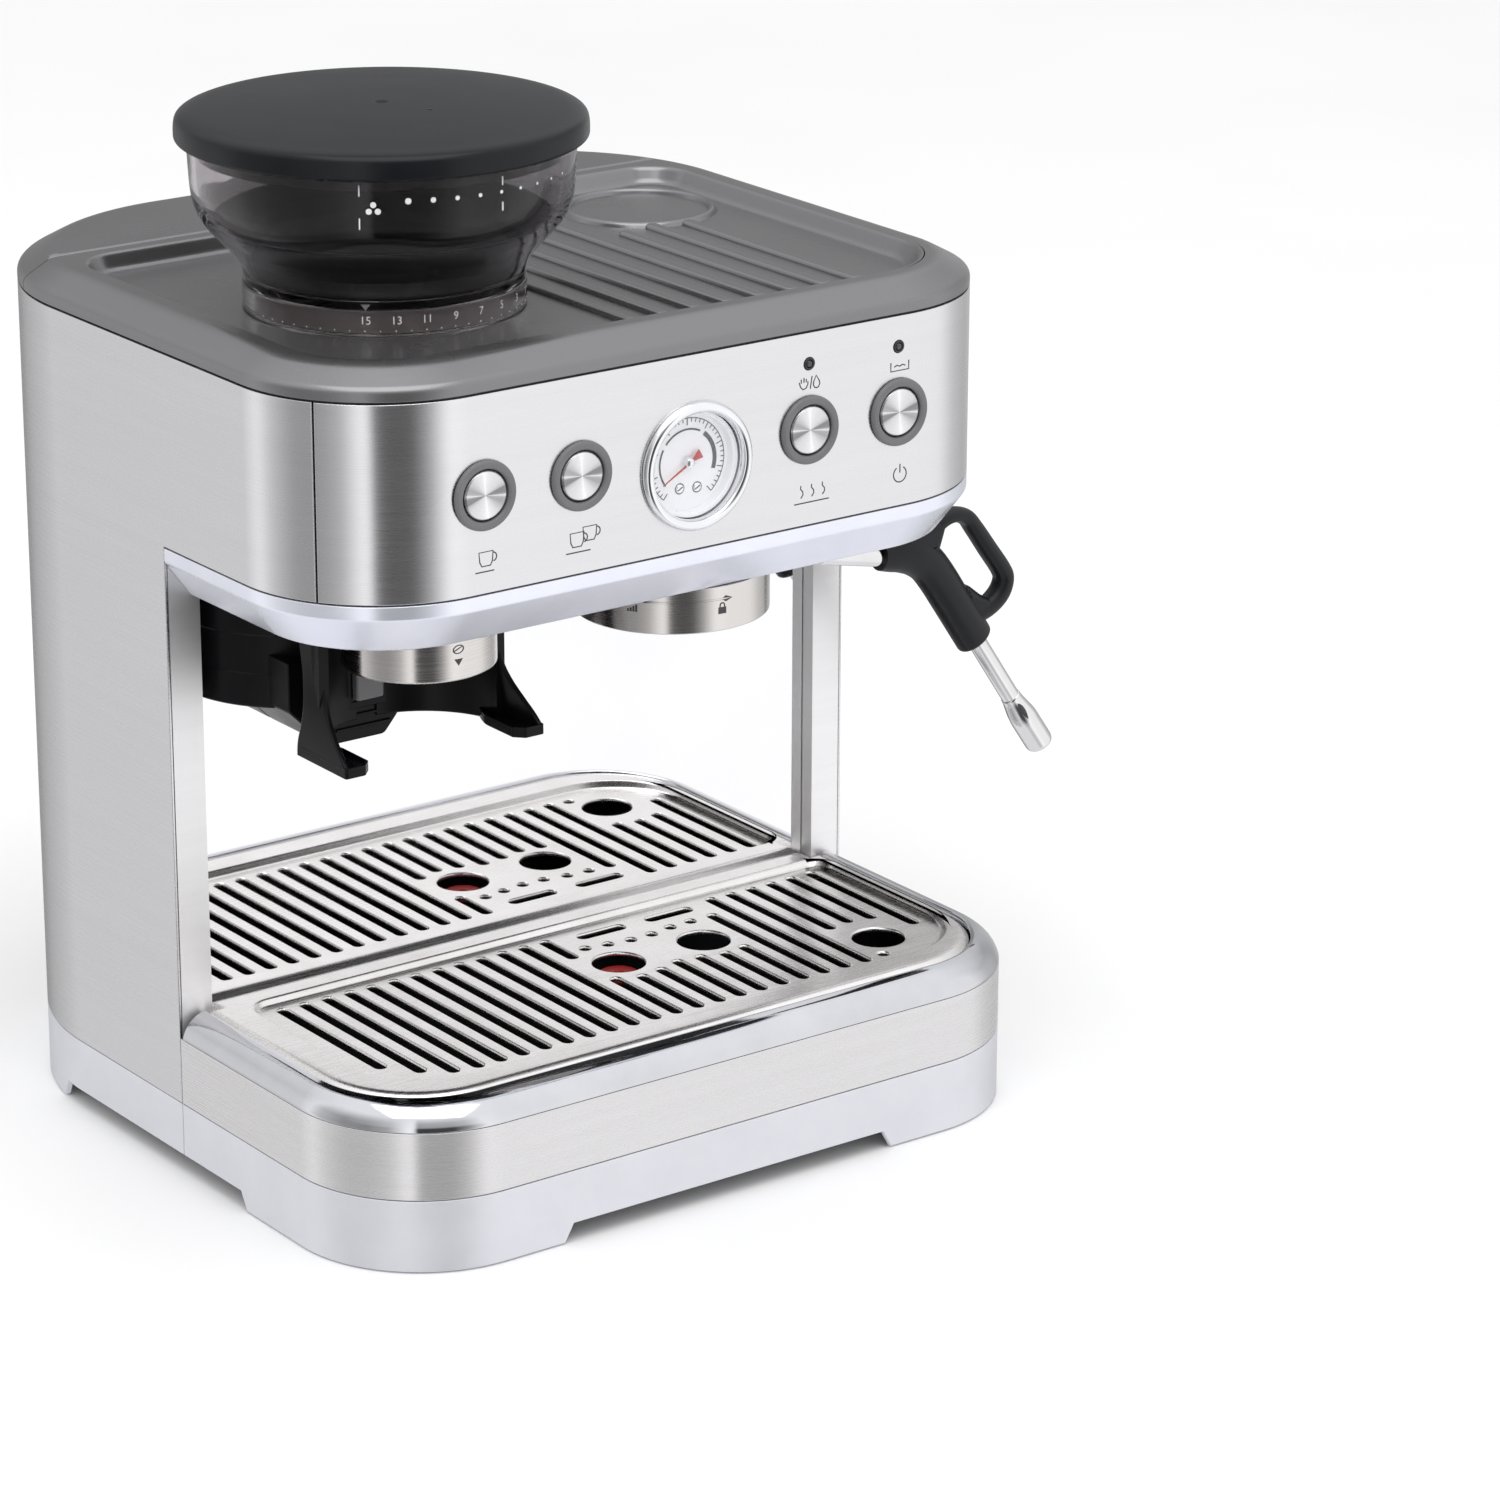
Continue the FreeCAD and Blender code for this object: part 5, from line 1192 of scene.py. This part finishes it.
def frame_of(run, width):
    """An outline with a hole set in by a pen's width, for small drawn signs."""
    cx = sum(p[0] for p in run) / len(run)
    cy = sum(p[1] for p in run) / len(run)
    reach = max(math.hypot(p[0] - cx, p[1] - cy) for p in run)
    k = 1 - width / reach
    return [run, [(cx + (x - cx) * k, cy + (y - cy) * k) for x, y in run]]


def sleeve_prints():
    radius = span("outlet_collar")[1] - OUTLET_X
    turned = (2 * math.pi * k / 20 for k in range(20))
    bean = [(2.3 * math.cos(a) - 0.6 * math.sin(a), 12 + 1.6 * math.sin(a) + 0.6 * math.cos(a))
            for a in turned]
    crease = [(-1.7, 11.2), (-0.2, 11.9), (1.6, 12.8), (1.7, 13.1), (-0.3, 12.4), (-1.8, 11.6)]
    for name, outlines in (("grind_pointer_down", [[(-1.8, 8.4), (0, 5.8), (1.8, 8.4)]]),
                           ("bean_sign", frame_of(bean, 0.55)), ("bean_crease", [crease])):
        on_sleeve(name, outlines, OUTLET_X, radius, -3)
    radius = span("lock_ring")[1] - GROUP_X
    on_sleeve("lock_body", [box_run(-1.7, 6.6, 1.7, 9.2)], GROUP_X, radius, -5)
    shackle = [(-1.2, 9.1), (-1.2, 10.2), (-0.6, 11), (0.6, 11), (1.2, 10.2), (1.2, 9.1), (0.7, 9.1),
               (0.7, 10), (0.3, 10.5), (-0.3, 10.5), (-0.7, 10), (-0.7, 9.1)]
    on_sleeve("lock_shackle", [shackle], GROUP_X, radius, -5)
    reach = radius * math.radians(27)
    arrow = [(-reach + k * 1.6, 11.95) for k in range(int(2 * reach / 1.6) - 1)]
    head = [(reach - 3, 11.1), (reach, 12.3), (reach - 3, 13.5)]
    arrow += head + [(x, 12.65) for x, _ in reversed(arrow)]
    on_sleeve("lock_arrow", [arrow], GROUP_X, radius, -25)
    for k, tall in enumerate((1.0, 1.5, 2.1, 2.8)):
        on_sleeve("lock_step_%d" % (k + 1), [box_run(1.1 * k, 8.2, 1.1 * k + 0.8, 8.2 + tall)], GROUP_X,
                  radius, -62)


def smooth_run(stops, steps=6):
    """A smooth run through stops of any number of values, the first value being the one that rises."""
    out = []
    for k in range(len(stops) - 1):
        before, a = stops[max(k - 1, 0)], stops[k]
        b, after = stops[k + 1], stops[min(k + 2, len(stops) - 1)]
        for step in range(steps):
            t = step / steps
            point = []
            for i in range(len(a)):
                slope_a, slope_b = (b[i] - before[i]) / 2, (after[i] - a[i]) / 2
                point.append((2 * t ** 3 - 3 * t ** 2 + 1) * a[i] + (t ** 3 - 2 * t ** 2 + t) * slope_a
                             + (3 * t ** 2 - 2 * t ** 3) * b[i] + (t ** 3 - t ** 2) * slope_b)
            out.append(tuple(point))
    return out + [tuple(stops[-1])]


SHOE_IN, SHOE_OUT = 36.5, 40.5
FOOT_LOW = span("portafilter_cradle")[4] + 8.0
FOOT_TOP = FOOT_LOW + 3.0
DRUM_Y, DRUM_R, DRUM_LOW = 15.0, 48.0, 185.0


def sector(name, section, centre, start, stop, steps, nodes=()):
    """Part of a black ring: (radius, z) points turned between two angles from the front."""
    rows = []
    for k in range(steps + 1):
        turn = math.radians(start + (stop - start) * k / steps)
        rows.append([(centre[0] + r * math.sin(turn), centre[1] - r * math.cos(turn), z)
                     for r, z in section])
    sheet(name, rows, "machine", CRADLE, nodes, close_columns=True, cap=True)


def cradle_arm(side, word):
    """A blade that hangs from the head, with a foot for the portafilter's rim at its lower end."""
    # height, then x and y of the blade's front and rear edges
    levels = smooth_run([(178.9, 43.1, -87.2, 42.9, -53.1), (181.8, 43.1, -86.8, 42.9, -53.2),
                         (185.6, 42.7, -83.2, 42.9, -54.0), (190.5, 41.7, -77.2, 42.7, -55.6),
                         (196, 40.4, -71.4, 42.2, -56.3), (202, 39.2, -67.6, 41.4, -55.6),
                         (210, 38.6, -65.2, 40.2, -53.5), (219, 38.4, -63.9, 39.4, -50.6),
                         (228.2, 38.4, -63.4, 39, -48.4)], 5)
    thick = 3.5
    rows = []
    for z, front_x, front_y, rear_x, rear_y in levels:
        front, rear = Vector((front_x, front_y)), Vector((rear_x, rear_y))
        run = (rear - front).normalized()
        inward = Vector((-run.y, run.x)) if run.y > 0 else Vector((run.y, -run.x))
        third, two_thirds = front.lerp(rear, 0.33), front.lerp(rear, 0.67)
        loop = [front, third, two_thirds, rear, rear + inward * thick, two_thirds + inward * thick,
                third + inward * thick, front + inward * thick * 0.55]
        loop = eased([tuple(p) for p in loop], [1.1, 0, 0, 1.4, 1.4, 0, 0, 0.8], 4)
        rows.append([(OUTLET_X + side * x, y, z) for x, y in loop])
    sheet("cradle_blade_" + word, rows, "machine", CRADLE, sharp=50, close_columns=True, cap=True)
    inner, outer = 31.2, 43.1
    plan = [(outer, -87.4), (outer, -53), (outer - 7, -53), (inner + 1.2, -62), (inner, -66),
            (inner, -83.6), (inner + 3.6, -87.4)]
    plan = eased(plan, [1.2, 4, 4, 2, 2, 0.6, 0.6], 4)
    lip_in = [((x - 37) * 0.86 + 37.2, (y + 70) * 0.94 - 70.2) for x, y in plan]
    for name, mesh, base in (("cradle_foot_", flat_plate([plan], 3.0, 0.5, 3), FOOT_LOW),
                             ("cradle_lip_", flat_plate([plan, lip_in], 1.4, 0.3, 2), FOOT_TOP - 0.3)):
        shaped(name + word, mesh, lambda u, v, w: (OUTLET_X + side * u, v, base + w), "machine", CRADLE)


def cradle():
    """The black cradle under the outlet: a round shoe, two arms, the plunger's block and a drum."""
    centre = (OUTLET_X, OUTLET_Y)
    wall = eased(box_run(SHOE_IN, FOOT_LOW, SHOE_OUT, CEILING_Z), [1.2, 1.2, 0.2, 0.2], 4)
    half_gap = 7.0
    sector("cradle_shoe", wall, centre, 96, 180 - half_gap, 40, ["portafilter_cradle"])
    sector("cradle_shoe_left", wall, centre, 180 + half_gap, 264, 40)
    above = eased(box_run(SHOE_IN, 206, SHOE_OUT, CEILING_Z), 0.2, 2)
    sector("cradle_shoe_top", above, centre, 180 - half_gap, 180 + half_gap, 8)
    cradle_arm(-1, "left")
    cradle_arm(1, "right")
    front_y, back_y = OUTLET_Y + SHOE_IN + 0.6, span("portafilter_cradle")[3]
    block = [(-124, 187), (-108, 170.8), (-82.6, 170.8), (-76, 178.4), (-76, 206), (-124, 206)]
    hole = box_run(OUTLET_X - 6.5, 186.5, OUTLET_X + 6.5, 205.6)
    upright_plate("cradle_block", [eased(block, [2, 1.5, 1.5, 1.5, 0.5, 0.5], 4), hole], back_y - front_y,
                  0.8, 3, back_y, "machine", CRADLE)
    edge = eased(box_run(OUTLET_X - 9.5, 183.5, OUTLET_X + 9.5, 207.4), 1, 3)
    upright_plate("plunger_frame", [edge, hole], 3.0, 0.6, 3, front_y + 1.5, "machine", CRADLE)
    for k, z in enumerate((175.5, 180.2)):
        upright_plate("block_rib_%d" % (k + 1), [box_run(-104, z, -80.5 + 2 * k, z + 1.1)], 1.2, 0.35, 2,
                      front_y + 0.3, "machine", CRADLE)
    drum = [(DRUM_R - 4, DRUM_LOW), (DRUM_R, DRUM_LOW), (DRUM_R, 198), (DRUM_R - 0.5, 198.5),
            (DRUM_R - 0.5, 213), (DRUM_R, 213.5), (DRUM_R, CEILING_Z), (DRUM_R - 4, CEILING_Z)]
    edge = math.degrees(math.acos((DRUM_Y - back_y) / DRUM_R))
    sector("cradle_drum", eased(drum, [0.3, 1.6, 0.3, 0.3, 0.3, 0.3, 0.2, 0.2], 4), (OUTLET_X, DRUM_Y),
           -edge, edge, 64)


def plunger():
    x0, x1, y0, y1, z0, z1 = span("grind_plunger")
    face = eased(box_run(x0, z0, x1, z1), 1.4, 4)
    upright_plate("plunger_body", [face], y1 - y0, 1.0, 4, y1, "plunger", RING_GREY, ["grind_plunger"])


# ---------------------------------------------------------------- steam wand
ELBOW_Z = 212.5
KNEE = ((150, 201.9), (160.8, 194.3))
NOZZLE = (200.4, 135.4)
TIP_R = 5.8


def tube(name, stations, material, nodes=(), steps=48, heading=None, cap=True):
    """A rounded piece in the wand's plane, through (x, z, half height, half depth) stations."""
    rows = []
    for k, (x, z, across, deep) in enumerate(stations):
        before, after = stations[max(k - 1, 0)], stations[min(k + 1, len(stations) - 1)]
        run = Vector(heading) if heading else Vector((after[0] - before[0], after[1] - before[1]))
        run.normalize()
        row = []
        for step in range(steps):
            turn = 2 * math.pi * step / steps
            u, v = across * math.cos(turn), deep * math.sin(turn)
            row.append((x - run.y * u, WAND_Y + v, z + run.x * u))
        rows.append(row)
    sheet(name, rows, "wand", material, nodes, sharp=50, close_columns=True, cap=cap)


def wand():
    base = span("wand_seat")[4]
    lathe("swivel_seat", [(7.4, 1), (9, 0), (12.5, 1.6), (13.5, 8.9), (7.4, 8.9)],
          [0.3, 0.5, 0.8, 0.2, 0.2], 3, (WAND_X, WAND_Y, base), "machine", BLACK, ["wand_seat"], steps=64)
    radius = 3.8
    top = span("wand_tube")[5]
    path = eased([(WAND_X, top), (WAND_X, ELBOW_Z), KNEE[0], KNEE[1], NOZZLE], [0, 6.5, 7, 7, 0], 8,
                 closed=False)
    tube("steam_pipe", [(x, z, radius, radius) for x, z in path], POLISHED, ["wand_tube"], steps=40)
    lathe("swivel_ball", arc(0, 0, 6.9, -90, 90, 20), 0, 1, (WAND_X, WAND_Y, 225), "wand", POLISHED,
          steps=48)

    # the sleeve of the grip follows the pipe, with a rolled lip at both ends
    spine = smooth_run([(133.1, 205.7, 5.6, 5.6), (138, 205.0, 6.3, 5.9), (144, 204.6, 7.4, 6.2),
                        (150, 203.0, 8.0, 6.5), (156, 199.2, 8.2, 6.5), (161.4, 192.8, 8.2, 6.5),
                        (168, 183.2, 8.15, 6.5), (181, 163.8, 8.0, 6.5)], 6)
    first, last = spine[0], spine[-1]
    opening = [(first[0] + 0.9, first[1] - 0.1, 4.0, 4.0), (first[0], first[1], 4.4, 4.4),
               (first[0] - 0.1, first[1], 5.1, 5.1)]
    lead = Vector((0.562, -0.827))

    def beyond(step, shrink):
        return (last[0] + lead.x * step, last[1] + lead.y * step, last[2] - shrink, last[3] - shrink)

    ending = [beyond(0.7, 0.15), beyond(1.2, 0.6), beyond(1.4, 1.3), beyond(1.2, 2.6), beyond(0.2, 2.7)]
    tube("grip_sleeve", spine + ending, GRIP, ["wand_grip"])
    tube("grip_mouth", opening + [first], GRIP, heading=(1, -0.1), cap=False)
    loop = smooth_run([(157, 208.6, 4.4, 4.4), (161.4, 214.3, 3.7, 4.6), (168.8, 216.4, 3.1, 4.7),
                       (175.6, 214.4, 3.4, 4.7), (180.4, 208.8, 3.7, 4.7), (187, 199.7, 3.9, 4.7),
                       (194.2, 189.8, 4.0, 4.7), (195.8, 185.2, 4.1, 4.7), (193.6, 179.8, 4.3, 4.8),
                       (188.2, 175.6, 4.3, 4.8), (181.5, 173.8, 4.4, 4.8), (176, 175.2, 4.2, 4.4)], 6)
    tube("grip_loop", loop, GRIP, steps=32)
    web = eased([(139, 206), (142, 211.6), (151, 215.8), (160, 217.6), (164.6, 214.5), (163.2, 209.8),
                 (161, 203.4), (152, 201)], [1, 3, 6, 3, 2, 2, 1, 1], 4)
    upright_plate("grip_web", [web], 9.4, 3.6, 5, WAND_Y + 4.7, "wand", GRIP, sharp=60)
    corner = eased([(183.4, 181), (176, 187), (172.5, 184), (176, 172), (186, 171.4), (190, 174.5),
                    (187.4, 179.2)], [2, 2, 1, 1, 2, 2, 2], 4)
    upright_plate("grip_corner", [corner], 8.6, 3.2, 5, WAND_Y + 4.3, "wand", GRIP, sharp=60)
    nozzle()


def nozzle():
    """The nozzle at the end of the pipe, with three leaf-shaped slots round it, drawn as dark prints that
    paint the shade in the openings.
    """
    tip = (216.8, 111.6)
    lead = Vector((tip[0] - NOZZLE[0], tip[1] - NOZZLE[1]))
    length = lead.length - 0.25
    lead.normalize()
    section = [(0, 0), (3.9, 0), (4.15, 0.5), (4.2, 2.6), (4.9, 7), (5.65, 11), (TIP_R, 13.5),
               (TIP_R, length - 1.6), (5.5, length - 0.5), (4.7, length), (1.6, length - 0.1),
               (1.2, length - 1.2), (0, length - 1.2)]
    section = eased(section, [0, 0.2, 0.3, 1.5, 1.5, 1.5, 1.2, 0.8, 0.5, 0.5, 0.3, 0.2, 0], 3, closed=False)
    stations = [(NOZZLE[0] + lead.x * h, NOZZLE[1] + lead.y * h, max(r, 0.02), max(r, 0.02))
                for r, h in section]
    tube("nozzle_body", stations, POLISHED, ["wand_tip"], heading=tuple(lead))

    def radius_at(h):
        stops = ((2.6, 4.2), (7, 4.9), (11, 5.65), (13.5, TIP_R))
        for (a, ra), (b, rb) in zip(stops, stops[1:]):
            if h <= b:
                return ra + (rb - ra) * max(h - a, 0) / (b - a)
        return TIP_R

    leaf = [(2.6 + 8.6 * t, 1.25 * math.sin(math.pi * t ** 0.7)) for t in (k / 12 for k in range(13))]
    leaf += [(h, -s) for h, s in reversed(leaf[1:-1])]
    for k in range(3):
        centre_turn = math.radians(-100 + 120 * k)
        mesh = flat_plate([leaf], 0.16, 0.03, 1)

        def where(h, s, w):
            r = radius_at(h) - 0.04 + w
            turn = centre_turn + s / 5.0
            across, deep = r * math.cos(turn), r * math.sin(turn)
            return (NOZZLE[0] + lead.x * h - lead.y * across, WAND_Y + deep,
                    NOZZLE[1] + lead.y * h + lead.x * across)

        # painted shade: each slot is a thin dark print on the nozzle
        shaped("nozzle_slot_%d" % (k + 1), mesh, where, "wand", DARK_INK_AND_SHADE, sharp=30)


outlet_and_group()
sleeve_prints()
cradle()
plunger()
wand()


# ---------------------------------------------------------------- stage, light and camera
WHITE, CEILING_LIGHT, FLOOR_LIGHT = (1.0, 1.0, 1.0, 1), (1.15, 1.15, 1.17, 1), (0.92, 0.93, 0.97, 1)


def stage():
    bpy.ops.mesh.primitive_grid_add(x_subdivisions=8, y_subdivisions=8, size=12, location=(0, 0, 0))
    floor = bpy.context.object
    floor.name = "floor"
    mat, tree, shader = start("floor", Roughness=0.75, Specular_IOR_Level=0.2)
    tree.links.new(tint(tree, streaks(tree, (400, 400, 400), detail=2), (0.89, 0.89, 0.895),
                        (0.92, 0.92, 0.922)), shader.inputs["Base Color"])
    floor.data.materials.append(mat)
    floor.visible_glossy = False


def world():
    """A white studio. Only glossy surfaces see the dark flags that stand round the table."""
    sky = bpy.data.worlds.new("studio")
    bpy.context.scene.world = sky
    sky.use_nodes = True
    tree = sky.node_tree
    tree.nodes.clear()
    way = add(tree, "TexCoord").outputs["Generated"]
    parts = add(tree, "SeparateXYZ", {"Vector": way})
    ahead = maths(tree, "MULTIPLY", parts.outputs["Y"], -1.0)
    turn = maths(tree, "ARCTAN2", parts.outputs["X"], ahead)
    share = add(tree, "MapRange", {"Value": turn, "From Min": -math.pi,
                                   "From Max": math.pi}).outputs["Result"]
    # degrees round from the front, to the left below zero, and how bright that side of the studio is
    sides = ((-180, 0.5), (-150, 0.74), (-131, 1.1), (-119, 0.7), (-98, 0.38), (-78, 0.36), (-61, 0.55),
             (-44, 1.35), (-41, 1.2), (-38, 0.07), (-10, 0.08), (2, 0.42), (17, 1.25), (35, 1.12),
             (70, 1.1), (88, 0.7), (112, 0.5), (128, 0.6), (146, 0.3), (168, 0.32), (180, 0.5))
    round_about = level_ramp(tree, share, [((angle + 180) / 360, value) for angle, value in sides])
    up = add(tree, "MapRange", {"Value": parts.outputs["Z"], "From Min": 0.35,
                                "From Max": 0.8}).outputs["Result"]
    down = add(tree, "MapRange", {"Value": parts.outputs["Z"], "From Min": -0.85, "From Max": -0.6,
                                  "To Min": 1.0, "To Max": 0.0}).outputs["Result"]
    reflected = blend(tree, down, blend(tree, up, round_about, CEILING_LIGHT), FLOOR_LIGHT)
    glossy = add(tree, "LightPath").outputs["Is Glossy Ray"]
    shine = add(tree, "Background", {"Color": blend(tree, glossy, WHITE, reflected), "Strength": 1.0})
    add(tree, "OutputWorld", {"Surface": shine.outputs[0]})


def softbox(name, where, aim, width, height, power):
    data = bpy.data.lights.new(name, "AREA")
    data.shape, data.size, data.size_y, data.energy = "RECTANGLE", width, height, power
    lamp = bpy.data.objects.new(name, data)
    lamp.location = where
    lamp.rotation_euler = (Vector(aim) - Vector(where)).to_track_quat("-Z", "Y").to_euler()
    bpy.context.scene.collection.objects.link(lamp)


def camera():
    """The camera stands ahead of the machine's left side and looks down at it."""
    turn, tilt, roll = math.radians(36.59), math.radians(19.33), math.radians(0.23)
    ahead = Vector((math.sin(turn) * math.cos(tilt), math.cos(turn) * math.cos(tilt), -math.sin(tilt)))
    level = Vector((math.cos(turn), -math.sin(turn), 0))
    upright = level.cross(ahead)
    right = level * math.cos(roll) + upright * math.sin(roll)
    up = upright * math.cos(roll) - level * math.sin(roll)
    data = bpy.data.cameras.new("camera")
    data.lens, data.sensor_width = 130.14, 36.0
    eye = bpy.data.objects.new("camera", data)
    place = metres((-1109.49, -1644.0, 833.33))
    eye.matrix_world = Matrix(((right.x, up.x, -ahead.x, place.x), (right.y, up.y, -ahead.y, place.y),
                               (right.z, up.z, -ahead.z, place.z), (0, 0, 0, 1)))
    bpy.context.scene.collection.objects.link(eye)
    bpy.context.scene.camera = eye


stage()
world()
softbox("top_light", (-0.3, -0.5, 1.9), (0, 0, 0.2), 1.6, 1.6, 14)
camera()
bpy.context.scene.view_settings.view_transform = "Standard"
